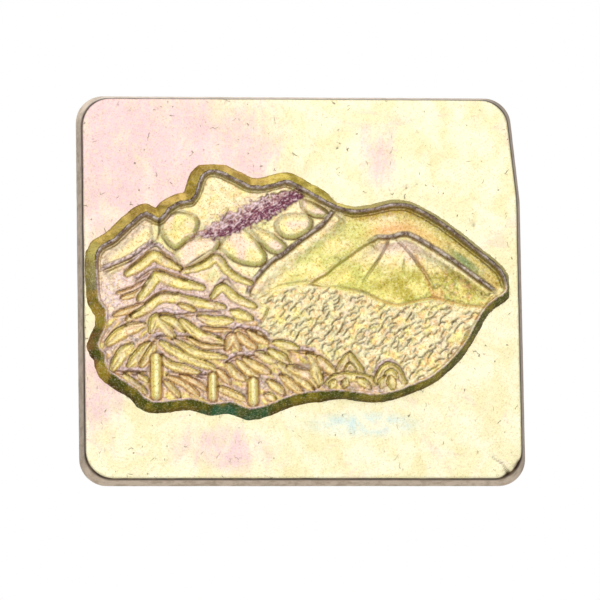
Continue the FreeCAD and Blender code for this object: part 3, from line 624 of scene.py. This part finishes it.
    # hillside with its cut dashes
    hill = curve(HILL, closed=True)
    hill_far, _, _ = nearest(x, z, hill, closed=True)
    hill_deep = np.where(inside(x, z, hill), hill_far, -hill_far)
    hill_in = smooth(hill_deep, -0.05, 0.25)
    base = 1.02 + 0.03 * rough(x, z, 0.9, 15) + 0.06 * rough(x, z, 0.28, 16)
    r.height = r.height * (1 - hill_in) + base * hill_in
    lip = hump(hill_deep, -0.12, 0.1) * smooth(z + 0.12 * x, -2.6, -2.0)
    r.height -= 0.07 * lip
    lay("rust", lip * smooth(x, 3.5, 4.5) * 0.6)
    lay("teal", lip * hump(x, 5.2, 0.9) * 0.5)
    lay("pale", hill_in * 0.9)
    lay("rose", hill_in * smooth(rough(x, z, 0.8, 17), 0.0, 0.7) * 0.55)
    lay("gold", hill_in * smooth(rough(x, z, 0.6, 18), -0.1, 0.5) * 0.7)
    lay("amber", hill_in * smooth(lattice(x, z, 0.22, 19), -0.1, 0.6) * 0.75)
    random = np.random.default_rng(7)
    for row in range(DASH_ROWS):
        for column in range(DASH_COLUMNS):
            u = -5.0 + 0.85 * column + random.uniform(-0.32, 0.32) + 0.3 * (row % 3)
            v = -8.8 + 0.46 * row + random.uniform(-0.15, 0.15)
            length = random.uniform(0.4, 0.85)
            strength = random.uniform(0.55, 1.0)
            angle = math.radians(random.uniform(18, 62))
            bend = random.uniform(-0.08, 0.1)
            skip = random.uniform(0, 1) < 0.15
            spot_far, _, _ = nearest(np.array([[u]]), np.array([[v]]), hill, closed=True)
            if skip or not inside(np.array([[u]]), np.array([[v]]), hill)[0, 0]:
                continue
            if spot_far[0, 0] < 0.3:
                continue
            dash(r, u, v, angle, length, strength, bend)

    # forest floor
    forest = within & (hill_deep < 0) & (z < 3.2 - 0.62 * np.abs(x + 13)) & (x < 9.2)
    forest = blur(np.where(forest, 1.0, 0.0), 2) * (x < 9.4)
    forest *= (slope_side > 0) | (z < -1.2)
    grain = lattice(x, z, 0.14, 80) + 0.6 * lattice(x, z, 0.08, 81)
    r.height += forest * 0.035 * grain
    lay("rose", forest * 0.55)
    lay("lilac", forest * smooth(grain, -0.3, 0.5) * 0.85)
    lay("plum", forest * smooth(-grain, 0.4, 1.1) * 0.4)
    # twigs between the boughs, which hang away from the left trunk
    trunk_x = TRUNKS[0][0]
    lean = np.where(x < trunk_x, math.radians(48), math.radians(-33))
    twig_u, twig_v = x * np.cos(lean) + z * np.sin(lean), z * np.cos(lean) - x * np.sin(lean)
    twigs = lattice(twig_u * 0.28, twig_v, 0.25, 82) + 0.35 * lattice(x, z, 0.3, 83)
    low_part = forest * smooth(-z, 1.8, 3.4)
    r.height += low_part * 0.07 * twigs
    lay("amber", low_part * smooth(twigs, -0.4, 0.2) * 0.75)
    lay("gold", low_part * smooth(twigs, 0.1, 0.7) * 0.8)
    lay("brown", low_part * smooth(-twigs, 0.30, 0.65) * 0.4)
    for number, points in enumerate(CRESTS):
        crest(r, points, number)
    for number, (half, warmth, points) in enumerate(BOUGHS):
        bough(r, half, warmth, points, 120 + number)
    pocket = np.exp(-(((x + 0.1) / 0.85) ** 2 + ((z + 7.1) / 0.3) ** 2) ** 2)
    r.height -= 0.2 * pocket
    # painted shade: the hollow is greyed
    lay("crest", pocket * 0.5)
    for spec in TRUNKS:
        trunk(r, *spec)

    # granular strike marks everywhere
    r.height += 0.010 * lattice(x, z, 0.15, 2) + 0.008 * lattice(x, z, 0.09, 3)

    # rim crest, its inner drop on the skyline, and the side wall, with painted light and shade on
    # them
    wander = 0.03 * lattice(x, z, 0.5, 20) + 0.02 * lattice(x, z, 0.2, 21)
    d = deep + wander * (far < 1)
    crest_width = 0.14 + 0.12 * sky
    top = smooth(crest_width + 0.16 - d, 0, 0.16)
    level = CREST - 0.05 * (1 - sky) + 0.03 * lattice(x, z, 0.22, 22)
    r.height = r.height * (1 - top) + level * top
    trough = hump(d - crest_width, 0.2, 0.11) * sky
    r.height -= 0.10 * trough
    wall_fall = np.clip(-d / wall, 0, None)
    rounded = np.sqrt(np.clip(d, 0, 0.12) / 0.12 * (2 - np.clip(d, 0, 0.12) / 0.12))
    r.height -= 0.07 * (1 - rounded) * (d > -0.001)
    outer = (CREST - 0.07) * (1 - wall_fall) + 0.03 * lattice(x, z, 0.4, 25) * (wall_fall < 0.9)
    r.height = np.where(d <= 0, outer, r.height)

    ring = smooth(crest_width + 0.02 - d, -0.04, 0.06) * (d > -0.02)
    lay("crest", ring * sky)
    lay("lilac", ring * (1 - sky) * smooth(grain, -0.5, 0.5) * 0.8)
    lay("brown", ring * smooth(rough(x, z, 0.4, 23, 4), -0.35, 0.35) * (0.3 + 0.55 * sky))
    # painted shade: a dark line along the rim's rounded outer edge, strongest on the skyline
    edge = hump(d, 0.02, 0.05)
    lay("dark", edge * (0.85 * sky + 0.35 * (1 - sky)))
    # painted shade under the skyline's rim: dark on the inner drop, olive just beneath it, then a
    # wider painted shadow of rust, olive and brown
    inner = hump(d - crest_width, 0.09, 0.085) * sky
    lay("dark", inner * 0.8)
    under_rim_shade = hump(d - crest_width, 0.27, 0.12) * sky
    lay("olive", under_rim_shade * (0.35 + 0.45 * smooth(x, 6, 12)))
    shadow = hump(d - crest_width, 0.45, 0.3) * sky * smooth(x, 3, 6)
    lay("rust", shadow * (1 - smooth(x, 8, 12)) * 0.6)
    lay("olive", shadow * smooth(grain, -0.9, 0.4) * 0.8)
    lay("brown", shadow * smooth(-grain, -0.2, 0.8) * 0.4)
    wall_in = (d <= 0).astype(float)
    # painted light and shade on the side wall: olive and gold where it faces up toward the light,
    # dark moss where it faces down
    lit_wall = sky * (1 - smooth(x, 2.0, 9.0) * 0.6)
    lay("olive", wall_in * lit_wall)
    lay("gold", wall_in * lit_wall * smooth(rough(x, z, 0.7, 26), -0.4, 0.4) * 0.9)
    # painted shade: darker towards the wall's foot
    lay("brown", wall_in * sky * smooth(wall_fall, 0.8, 1.0) * 0.55)
    lay("moss", wall_in * (1 - lit_wall))
    lay("olive", wall_in * (1 - sky) * smooth(rough(x, z, 0.9, 30), -0.1, 0.5) * 0.6)
    # painted shade: darker towards the foot of the lower walls
    lay("brown", wall_in * (1 - sky) * smooth(wall_fall, 0.45, 0.9) * 0.6)
    teal = smooth(rough(x, z, 2.2, 27), 0.0, 0.5) * smooth(-8.6 - z, 0, 0.6) * smooth(6.0 - x, 0, 2)
    lay("teal", wall_in * (1 - sky) * teal * 0.8)
    flank = wall_in * (1 - sky) * smooth(-16.6 - x, 0, 0.6)
    lay("olive", flank * smooth(lattice(x, z, 0.7, 28), -0.4, 0.4) * 0.8)
    lay("rust", flank * smooth(lattice(x, z, 0.6, 29), -0.2, 0.6) * 0.35)

    keep = wall_fall < 1 + BURIED / (CREST - 0.07) + 0.12
    r.height = np.maximum(r.height, -BURIED)
    return r, keep


def heightfield(name, relief, keep):
    """The relief as one closed mesh: the struck face, its walls, and a flat underside."""
    height = np.where(keep, relief.height, -BURIED)
    cells = keep[:-1, :-1] & keep[1:, :-1] & keep[1:, 1:] & keep[:-1, 1:]
    for _ in range(4):      # no two cells may meet at a corner only
        slash = cells[:-1, :-1] & cells[1:, 1:] & ~cells[1:, :-1] & ~cells[:-1, 1:]
        other = ~cells[:-1, :-1] & ~cells[1:, 1:] & cells[1:, :-1] & cells[:-1, 1:]
        cells[1:, :-1] |= slash
        cells[:-1, :-1] |= other
    i, j = np.nonzero(cells)
    rows = height.shape[1]
    near, far = i * rows + j, (i + 1) * rows + j
    quads = np.stack([near, far, far + 1, near + 1], 1)
    used, quads = np.unique(quads, return_inverse=True)
    quads = quads.reshape(-1, 4)
    where = np.stack([relief.x, -(PLATE_DEPTH + height), relief.z], -1).reshape(-1, 3)[used] * MM
    mesh = bpy.data.meshes.new(name)
    mesh.from_pydata(where.tolist(), [], quads.tolist())
    count = len(where)

    film_and_shade = np.ones((count, 4))
    film_and_shade[:, :3] = np.clip(relief.film_and_shade.reshape(-1, 3)[used], 0.0, 1.0)
    layer = mesh.attributes.new("film_and_shade", "FLOAT_COLOR", "POINT")
    layer.data.foreach_set("color", film_and_shade.ravel().astype(np.float32))

    work = bmesh.new()
    work.from_mesh(mesh)
    edges = [edge for edge in work.edges if edge.is_boundary]
    for vert in {vert for edge in edges for vert in edge.verts}:
        vert.co.y = -(PLATE_DEPTH - BURIED) * MM
    bmesh.ops.triangle_fill(work, edges=edges, use_beauty=False, use_dissolve=False,
                            normal=(0, 1, 0))
    bmesh.ops.recalc_face_normals(work, faces=work.faces)
    for face in work.faces:
        face.smooth = True
    work.to_mesh(mesh)
    work.free()
    piece = bpy.data.objects.new(name, mesh)
    scene.collection.objects.link(piece)
    return piece


# ---------------------------------------------------------------- the plate

FACE = (19.0, 16.75)        # half width and half height of the plate's face
CORNER = 2.4
SHOULDER = (8.0, 0.65)      # where the right edge starts to lean in, and how far it does
EDGE_ROUND = 0.15
DRAFT = 0.45
SEAT = (9.5, 2.0, 0.2)      # the posts' seats: distance from the middle, radius, depth
GRID = (216, 190)           # cells across the face


def plate_side(which, spread, count):
    """One side of the plate's outline, from the middle of one corner's arc to the next."""
    half_x, half_z = FACE[0] + spread, FACE[1] + spread
    lean = SHOULDER[1]
    corners = {
        "low_left": (-half_x, -half_z), "low_right": (half_x, -half_z),
        "high_right": (half_x - lean, half_z), "high_left": (-half_x, half_z),
    }
    names = {
        "bottom": ("low_left", "low_right"), "right": ("low_right", "high_right"),
        "top": ("high_left", "high_right"), "left": ("low_left", "high_left"),
    }[which]
    (ax, az), (bx, bz) = (corners[name] for name in names)

    def arc(centre, start, end):
        angles = np.radians(np.linspace(start, end, 9))
        return [(centre[0] + CORNER * math.cos(a), centre[1] + CORNER * math.sin(a))
                for a in angles]

    c = CORNER
    if which == "bottom":
        path = arc((ax + c, az + c), 225, 270) + arc((bx - c, bz + c), 270, 315)
    elif which == "top":
        path = arc((ax + c, az - c), 135, 90) + arc((bx - c, bz - c), 90, 47)
    elif which == "left":
        path = arc((ax + c, az + c), 225, 180) + arc((bx + c, bz - c), 180, 135)
    else:
        path = arc((ax - c, az + c), -45, 0) + [(half_x, SHOULDER[0])]
        path += arc((bx - c, bz - c), 4, 47)
    path = np.array(path)
    run = np.concatenate([[0], np.cumsum(np.hypot(*np.diff(path, axis=0).T))])
    even = np.linspace(0, run[-1], count + 1)
    return np.stack([np.interp(even, run, path[:, k]) for k in (0, 1)], 1)


def plate_loop(spread):
    """The plate's whole outline, anticlockwise seen from the front."""
    across, up = GRID
    bottom = plate_side("bottom", spread, across)
    right = plate_side("right", spread, up)
    top = plate_side("top", spread, across)[::-1]
    left = plate_side("left", spread, up)[::-1]
    return np.vstack([bottom[:-1], right[:-1], top[:-1], left[:-1]])


def wear(x, z):
    """How far the plate's face is dented or chipped below flat."""
    sink = 0.012 * rough(x, z, 3.0, 50) + 0.006 * rough(x, z, 0.7, 51)
    for cx, cz, radius, depth in (
            (-12.9, -15.0, 0.25, 0.015), (-12.3, -15.7, 0.40, 0.015), (-13.5, -14.7, 0.2, 0.015),
            (-11.8, -15.4, 0.25, 0.015), (18.6, -16.4, 0.9, 0.05), (17.6, -16.6, 0.5, 0.03),
            (18.8, -15.4, 0.4, 0.03), (9.3, 8.9, 0.2, 0.05), (10.2, 9.2, 0.2, 0.05),
            (-5.4, 12.9, 0.25, 0.04), (3.3, 12.4, 0.18, 0.04), (15.2, 5.6, 0.3, 0.05),
            (-18.3, 9.4, 0.2, 0.02), (12.2, -13.0, 0.22, 0.03)):
        spot = ((x - cx) ** 2 + (z - cz) ** 2) / radius ** 2
        sink = sink + depth * np.exp(-spot) * (1 + 0.5 * lattice(x, z, 0.3, 52))
    crack = np.array([(16.4, -14.9), (17.2, -15.4), (17.7, -16.2), (17.9, -16.8)])
    far, _, _ = nearest(x, z, crack)
    return sink + 0.03 * hump(far, 0, 0.14)


def plate(name):
    """The drafted plate: face, rounded edge, side walls and the back with its two seats."""
    across, up = GRID
    inset = -EDGE_ROUND
    bottom, top = (plate_side(side, inset, across) for side in ("bottom", "top"))
    left, right = (plate_side(side, inset, up) for side in ("left", "right"))
    u = np.linspace(0, 1, across + 1)[:, None, None]
    v = np.linspace(0, 1, up + 1)[None, :, None]
    grid = (1 - v) * bottom[:, None] + v * top[:, None] + (1 - u) * left[None] + u * right[None]
    grid -= ((1 - u) * (1 - v) * bottom[0] + u * (1 - v) * bottom[-1]
             + (1 - u) * v * top[0] + u * v * top[-1])
    gx, gz = grid[..., 0], grid[..., 1]
    points = [np.stack([gx, -PLATE_DEPTH + wear(gx, gz), gz], -1).reshape(-1, 3)]
    faces = []
    index = np.arange((across + 1) * (up + 1)).reshape(across + 1, up + 1)
    for i in range(across):
        for j in range(up):
            faces.append((index[i, j], index[i + 1, j], index[i + 1, j + 1], index[i, j + 1]))
    ring = np.concatenate([index[:-1, 0], index[-1, :-1], index[:0:-1, -1], index[0, :0:-1]])
    count = index.size

    rings = []
    for step in (0.25, 0.5, 0.75, 1.0):
        turn = step * math.pi / 2
        rings.append((inset + EDGE_ROUND * math.sin(turn), EDGE_ROUND * (1 - math.cos(turn))))
    for part in (0.2, 0.4, 0.6, 0.8, 0.96):
        rings.append((DRAFT * part, EDGE_ROUND + (PLATE_DEPTH - EDGE_ROUND) * part))
    rings.append((DRAFT - 0.03, PLATE_DEPTH))
    for spread, back in rings:
        loop = plate_loop(spread)
        shade = 1 - back / PLATE_DEPTH
        x, z = loop.T
        bumps = 0.02 * rough(x + 3 * back, z - 2 * back, 0.8, 55) * (0 < shade < 0.95)
        sink = wear(x, z) * np.clip(shade, 0, 1) ** 2
        scale = 1 - (sink * 0.5 - bumps * 0.5) / np.hypot(x, z)
        points.append(np.stack([x * scale, -PLATE_DEPTH + back + sink, z * scale], -1))
        here = count + np.arange(len(loop))
        for a, b, c, d in zip(ring, np.roll(ring, -1), np.roll(here, -1), here):
            faces.append((a, d, c, b))
        ring, count = here, count + len(loop)

    mesh = bpy.data.meshes.new(name)
    mesh.from_pydata((np.vstack(points) * MM).tolist(), [], [tuple(map(int, f)) for f in faces])
    work = bmesh.new()
    work.from_mesh(mesh)
    outer = [edge for edge in work.edges if edge.is_boundary]
    rims = []
    for sign in (-1, 1):
        made = bmesh.ops.create_circle(
            work, cap_ends=False, radius=SEAT[1] * MM, segments=64)["verts"]
        for vert in made:
            vert.co = Vector((vert.co.x + sign * SEAT[0] * MM, 0, vert.co.y))
        loop = list({edge for vert in made for edge in vert.link_edges})
        rims += loop
        lower = bmesh.ops.extrude_edge_only(work, edges=loop)["geom"]
        deep = [item for item in lower if isinstance(item, bmesh.types.BMVert)]
        bmesh.ops.translate(work, verts=deep, vec=(0, -SEAT[2] * MM, 0))
        floor = [item for item in lower if isinstance(item, bmesh.types.BMEdge)
                 and all(vert in deep for vert in item.verts)]
        bmesh.ops.triangle_fill(work, edges=floor, use_beauty=True, normal=(0, 1, 0))
    bmesh.ops.triangle_fill(work, edges=outer + rims, use_beauty=True, normal=(0, 1, 0))
    bmesh.ops.recalc_face_normals(work, faces=work.faces)
    for face in work.faces:
        face.smooth = True
    for edge in work.edges:
        if len(edge.link_faces) == 2 and edge.calc_face_angle(0) > math.radians(SHARP):
            edge.smooth = False
    work.to_mesh(mesh)
    work.free()
    piece = bpy.data.objects.new(name, mesh)
    scene.collection.objects.link(piece)
    return piece


# ---------------------------------------------------------------- materials

class Graph:
    """A material's node tree, with short calls for the nodes that the finishes share."""

    def __init__(self, name):
        self.material = bpy.data.materials.new(name)
        self.material.use_nodes = True
        self.tree = self.material.node_tree
        self.bsdf = next(n for n in self.tree.nodes if n.type == "BSDF_PRINCIPLED")
        place = self.node("ShaderNodeTexCoord").outputs["Object"]
        scale = self.node("ShaderNodeVectorMath", operation="SCALE")
        self.link(place, scale.inputs[0])
        scale.inputs["Scale"].default_value = 1000
        self.place = scale.outputs[0]           # object coordinates in millimetres

    def node(self, kind, **options):
        made = self.tree.nodes.new(kind)
        for option, value in options.items():
            setattr(made, option, value)
        return made

    def link(self, source, target):
        if isinstance(source, bpy.types.NodeSocket):
            self.tree.links.new(source, target)
        elif hasattr(source, "__len__") and target.type == "RGBA":
            target.default_value = (*source[:3], 1)
        else:
            target.default_value = source

    def math(self, operation, *values):
        made = self.node("ShaderNodeMath", operation=operation)
        for value, socket in zip(values, made.inputs):
            self.link(value, socket)
        return made.outputs[0]

    def times(self, first, second):
        return self.math("MULTIPLY", first, second)

    def plus(self, first, second):
        return self.math("ADD", first, second)

    def noise(self, scale, detail=3.0, roughness=0.55, distortion=0.0, place=None):
        made = self.node("ShaderNodeTexNoise")
        self.link(place or self.place, made.inputs["Vector"])
        for key, value in (("Scale", scale), ("Detail", detail), ("Roughness", roughness),
                           ("Distortion", distortion)):
            made.inputs[key].default_value = value
        return made.outputs["Fac"]

    def stretch(self, factors, turn=0.0):
        made = self.node("ShaderNodeMapping")
        self.link(self.place, made.inputs["Vector"])
        made.inputs["Scale"].default_value = factors
        made.inputs["Rotation"].default_value = (0, turn, 0)
        return made.outputs[0]

    def cracks(self, scale, width, place=None):
        """Thin lines between cells: 1 on a line, 0 away from it."""
        made = self.node("ShaderNodeTexVoronoi", feature="DISTANCE_TO_EDGE")
        self.link(place or self.place, made.inputs["Vector"])
        made.inputs["Scale"].default_value = scale
        return self.ramp(made.outputs["Distance"], width, 0.0)

    def ramp(self, value, low, high):
        made = self.node("ShaderNodeMapRange", interpolation_type="SMOOTHSTEP")
        for key, item in (("Value", value), ("From Min", low), ("From Max", high)):
            self.link(item, made.inputs[key])
        return made.outputs["Result"]

    def blend(self, amount, first, second, mode="MIX"):
        made = self.node("ShaderNodeMix", data_type="RGBA", blend_type=mode)
        self.link(amount, made.inputs[0])
        self.link(first, made.inputs[6])
        self.link(second, made.inputs[7])
        return made.outputs[2]

    def blob(self, centre, radii):
        """A soft spot: 1 in the middle, 0 outside."""
        shift = self.node("ShaderNodeVectorMath", operation="SUBTRACT")
        self.link(self.place, shift.inputs[0])
        shift.inputs[1].default_value = (centre[0], 0, centre[1])
        scale = self.node("ShaderNodeVectorMath", operation="MULTIPLY")
        self.link(shift.outputs[0], scale.inputs[0])
        scale.inputs[1].default_value = (1 / radii[0], 0, 1 / radii[1])
        length = self.node("ShaderNodeVectorMath", operation="LENGTH")
        self.link(scale.outputs[0], length.inputs[0])
        return self.ramp(length.outputs["Value"], 1.0, 0.2)

    def bump(self, height, distance):
        made = self.node("ShaderNodeBump")
        made.inputs["Strength"].default_value = 1.0
        made.inputs["Distance"].default_value = distance * MM
        self.link(height, made.inputs["Height"])
        return made.outputs[0]

    def finish(self, colour, roughness, normal):
        self.link(colour, self.bsdf.inputs["Base Color"])
        self.link(roughness, self.bsdf.inputs["Roughness"])
        self.link(normal, self.bsdf.inputs["Normal"])
        self.bsdf.inputs["Metallic"].default_value = 1.0
        return self.material


def colour(red, green, blue):
    return tuple(float(part) for part in tone(red, green, blue))


def plate_finish():
    """Yellow chromate over zinc: pale cream, with rose clouds, scratches and pits."""
    g = Graph("plate_chromate_and_shade")
    broad, mid = g.noise(0.10, 4, 0.6), g.noise(0.45, 4, 0.6, 0.6)
    grain, fine = g.noise(3.2, 3, 0.6), g.noise(6.5, 3, 0.7)
    tone_a = g.blend(g.ramp(mid, 0.35, 0.7), colour(252, 246, 214), colour(249, 240, 192))
    streaks = g.noise(0.5, 4, 0.65, 0.8, g.stretch((1, 1, 0.45)))
    clouds = g.blob((-14.0, 11.0), (19, 15))
    for centre, radii, share in (((6.6, 11.4), (3.2, 4.5), 0.75),
                                 ((-7.5, -14.0), (6.5, 3.5), 0.7),
                                 ((-18.0, -9.0), (4.0, 8.0), 0.8)):
        clouds = g.math("MAXIMUM", clouds, g.times(g.blob(centre, radii), share))
    rose = g.ramp(g.plus(clouds, g.times(streaks, 1.8)), 1.0, 2.0)
    tone_b = g.blend(g.times(rose, 0.95), tone_a, colour(242, 208, 210))
    spots = g.ramp(g.noise(0.3, 3, 0.5, 1.0, g.stretch((1, 1, 1.7), 0.5)), 0.58, 0.72)
    tone_c = g.blend(g.times(spots, 0.28), tone_b, colour(240, 205, 205))
    sky = g.times(g.blob((5.2, -12.0), (6.5, 1.5)), g.ramp(mid, 0.3, 0.6))
    tone_d = g.blend(g.times(sky, 0.8), tone_c, colour(204, 234, 240))
    tone_e = g.blend(g.times(g.ramp(grain, 0.45, 0.7), 0.4), tone_d,
                     colour(242, 228, 178))
    tone_e = g.blend(g.times(g.ramp(fine, 0.5, 0.66), 0.4), tone_e,
                     g.blend(1.0, tone_e, colour(214, 196, 168), "MULTIPLY"))
    bent = g.node("ShaderNodeVectorMath", operation="ADD")
    swirl = g.node("ShaderNodeTexNoise")
    g.link(g.place, swirl.inputs["Vector"])
    swirl.inputs["Scale"].default_value = 0.9
    g.link(g.stretch((1, 1, 0.8), 0.6), bent.inputs[0])
    g.link(swirl.outputs["Color"], bent.inputs[1])
    lines = g.times(g.cracks(0.8, 0.016, bent.outputs[0]),
                   g.ramp(g.plus(g.noise(1.3, 2, 0.5), g.times(broad, 0.12)),
                          0.67, 0.72))
    pits = g.ramp(g.noise(2.1, 2, 0.5), 0.735, 0.77)
    marks = g.math("MAXIMUM", lines, pits)
    tone_f = g.blend(g.times(marks, 0.7), tone_e, colour(138, 124, 96))
    # the side walls are thinly plated and grey, with painted shade darkest next to the face
    place = g.node("ShaderNodeSeparateXYZ")
    g.link(g.place, place.inputs[0])
    behind = place.outputs["Y"]
    wall = g.ramp(behind, -1.485, -1.44)
    shade = g.blend(g.ramp(behind, -1.32, -0.95), colour(72, 54, 44), colour(226, 208, 188))
    shade = g.blend(g.times(g.ramp(g.noise(1.2, 4, 0.65), 0.4, 0.7), 0.5), shade,
                    colour(150, 128, 96))
    back = g.ramp(behind, -0.06, -0.02)
    tone_g = g.blend(wall, tone_f, shade)
    cast = g.plus(g.times(broad, 0.6), g.times(grain, 0.4))
    tone_h = g.blend(back, tone_g, g.blend(g.ramp(cast, 0.4, 0.62), colour(222, 214, 194),
                                           colour(206, 192, 156)))
    roughness = g.plus(0.34, g.times(mid, 0.16))
    height = g.plus(g.times(grain, 0.7), g.times(fine, 0.5))
    height = g.math("SUBTRACT", height, g.times(marks, 1.2))
    return g.finish(tone_h, roughness, g.bump(height, 0.03))


def relief_finish():
    """The same chromate on the struck relief, its colour read from the painted attribute, which
    carries painted light and shade on the strike's slopes and in its hollows.
    """
    g = Graph("relief_chromate_and_shade")
    film_and_shade = g.node("ShaderNodeAttribute", attribute_name="film_and_shade").outputs["Color"]
    speck, grain = g.noise(6.0, 3, 0.75), g.noise(3.0, 3, 0.65)
    tone_a = g.blend(g.times(g.ramp(grain, 0.5, 0.75), 0.3), film_and_shade,
                     g.blend(1.0, film_and_shade, colour(232, 205, 150), "MULTIPLY"))
    tone_b = g.blend(g.times(g.ramp(speck, 0.53, 0.63), 0.6), tone_a,
                     g.blend(1.0, film_and_shade, colour(196, 156, 92), "MULTIPLY"))
    tone_c = g.blend(g.times(g.ramp(speck, 0.45, 0.35), 0.4), tone_b,
                     colour(250, 240, 226))
    roughness = g.plus(0.28, g.times(grain, 0.2))
    height = g.math("SUBTRACT", grain, speck)
    return g.finish(tone_c, roughness, g.bump(height, 0.04))


def drawn_metal(name, base, dark, light, roughness, ring=False):
    """Turned or pressed sheet metal with fine lines, tarnish and small scratches."""
    g = Graph(name)
    cloud, grain = g.noise(0.5, 4, 0.6, 0.5), g.noise(6.0, 3, 0.6)
    lines = g.noise(14.0, 2, 0.5, 0, g.stretch((1, 0.12, 1) if not ring else (0.3, 1, 0.3)))
    scratch = g.times(g.cracks(0.9, 0.02, g.stretch((1, 0.5, 0.6), 0.7)),
                     g.ramp(g.noise(0.6, 2, 0.5), 0.5, 0.62))
    tone_a = g.blend(g.ramp(cloud, 0.35, 0.72), base, dark)
    tone_b = g.blend(g.times(g.ramp(grain, 0.5, 0.8), 0.35), tone_a, light)
    tone_c = g.blend(g.times(scratch, 0.5), tone_b, light)
    rough_out = g.plus(roughness, g.times(cloud, 0.14))
    height = g.plus(g.times(lines, 0.6), g.times(grain, 0.4))
    height = g.math("SUBTRACT", height, g.times(scratch, 0.8))
    return g.finish(tone_c, rough_out, g.bump(height, 0.006))


# ---------------------------------------------------------------- build

drawing, kept = draw_relief()
relief = heightfield("struck_landscape", drawing, kept)
relief.data.materials.append(relief_finish())
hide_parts("landscape_relief")
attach(relief, "pin")

base_plate = plate("struck_plate")
base_plate.data.materials.append(plate_finish())
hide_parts("backing_plate")
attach(base_plate, "pin")

brass = drawn_metal("stamped_brass", colour(232, 196, 116), colour(196, 150, 80),
                    colour(250, 226, 160), 0.24)
spring = drawn_metal("spring_brass", colour(222, 186, 112), colour(176, 132, 70),
                     colour(248, 222, 160), 0.3)
steel = drawn_metal("turned_post", colour(206, 204, 200), colour(150, 146, 140),
                    colour(238, 236, 232), 0.26, ring=True)
solder = drawn_metal("soft_solder", colour(186, 188, 192), colour(130, 132, 136),
                     colour(224, 226, 230), 0.4)
FINISH = {"post": steel, "solder": solder, "clutch_face": brass, "clutch_dome": brass,
          "clutch_wing": spring}
for node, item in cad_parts.items():
    for start, material in FINISH.items():
        if node.startswith(start):
            item.data.materials.clear()
            item.data.materials.append(material)

# ---------------------------------------------------------------- stage

scene.view_settings.view_transform = "Standard"

floor_mesh = bpy.data.meshes.new("floor")
reach = 3.0
floor_level = -0.19
floor_mesh.from_pydata([(-reach, -reach, floor_level), (reach, -reach, floor_level),
                        (reach, reach, floor_level), (-reach, reach, floor_level)],
                       [], [(0, 1, 2, 3)])
floor = bpy.data.objects.new("floor", floor_mesh)
scene.collection.objects.link(floor)
pale = bpy.data.materials.new("pale_floor")
pale.use_nodes = True
pale_bsdf = next(n for n in pale.node_tree.nodes if n.type == "BSDF_PRINCIPLED")
pale_bsdf.inputs["Base Color"].default_value = (0.93, 0.92, 0.90, 1)
pale_bsdf.inputs["Roughness"].default_value = 0.9
floor_mesh.materials.append(pale)

world = bpy.data.worlds.new("studio")
scene.world = world
world.use_nodes = True
nodes, links = world.node_tree.nodes, world.node_tree.links
nodes.clear()
out = nodes.new("ShaderNodeOutputWorld")
seen, around = nodes.new("ShaderNodeBackground"), nodes.new("ShaderNodeBackground")
seen.inputs["Strength"].default_value = 1.0
around.inputs["Color"].default_value = (1.0, 1.0, 1.0, 1)
around.inputs["Strength"].default_value = 0.4
swap, ray = nodes.new("ShaderNodeMixShader"), nodes.new("ShaderNodeLightPath")
seen.inputs["Color"].default_value = (1, 1, 1, 1)
links.new(ray.outputs["Is Camera Ray"], swap.inputs["Fac"])
links.new(around.outputs[0], swap.inputs[1])
links.new(seen.outputs[0], swap.inputs[2])
links.new(swap.outputs[0], out.inputs["Surface"])


def direction(azimuth, elevation):
    """The unit vector from the pin towards a light or camera at that bearing."""
    a, e = math.radians(azimuth), math.radians(elevation)
    return Vector((math.sin(a) * math.cos(e), -math.cos(a) * math.cos(e), math.sin(e)))


def softbox(name, azimuth, elevation, distance, width, height, radiance):
    """A rectangular lamp of that brightness, aimed at the pin."""
    data = bpy.data.lights.new(name, "AREA")
    data.shape = "RECTANGLE"
    data.size, data.size_y = width, height
    data.energy = radiance * math.pi * width * height
    lamp = bpy.data.objects.new(name, data)
    scene.collection.objects.link(lamp)
    towards = direction(azimuth, elevation)
    lamp.location = towards * distance
    lamp.rotation_mode = "QUATERNION"
    lamp.rotation_quaternion = towards.to_track_quat("Z", "Y")
    lamp.visible_camera = False


softbox("front_box", 2, 20, 0.8, 0.72, 0.62, 1.3)
softbox("top_box", 10, 78, 0.7, 0.7, 0.5, 0.9)
softbox("back_box", 200, 35, 0.8, 0.8, 0.6, 0.9)
softbox("right_box", 80, 20, 0.9, 0.5, 0.7, 0.5)
softbox("left_box", -78, 5, 0.9, 0.5, 0.7, 1.1)

# ---------------------------------------------------------------- camera

VIEW = (-6.0, -10.0)        # azimuth and elevation of the camera, in degrees
ROLL = -0.893               # its turn about its own axis, in degrees
DISTANCE = 600.0
LENS = 413.5
AIM = (-0.028, -0.790)      # what the camera looks at: right of and above the origin, in mm

camera_data = bpy.data.cameras.new("camera")
camera_data.lens = LENS
camera_data.sensor_width = 36.0
camera_data.clip_start, camera_data.clip_end = 0.05, 20
camera = bpy.data.objects.new("camera", camera_data)
scene.collection.objects.link(camera)
back = direction(*VIEW)
right = (-back).cross(Vector((0, 0, 1))).normalized()
upward = right.cross(-back)
camera.location = back * DISTANCE * MM
aim = (right * AIM[0] + upward * AIM[1]) * MM
camera.rotation_mode = "QUATERNION"
level = (aim - camera.location).to_track_quat("-Z", "Y")
camera.rotation_quaternion = level @ Quaternion((0, 0, 1), math.radians(ROLL))
scene.camera = camera
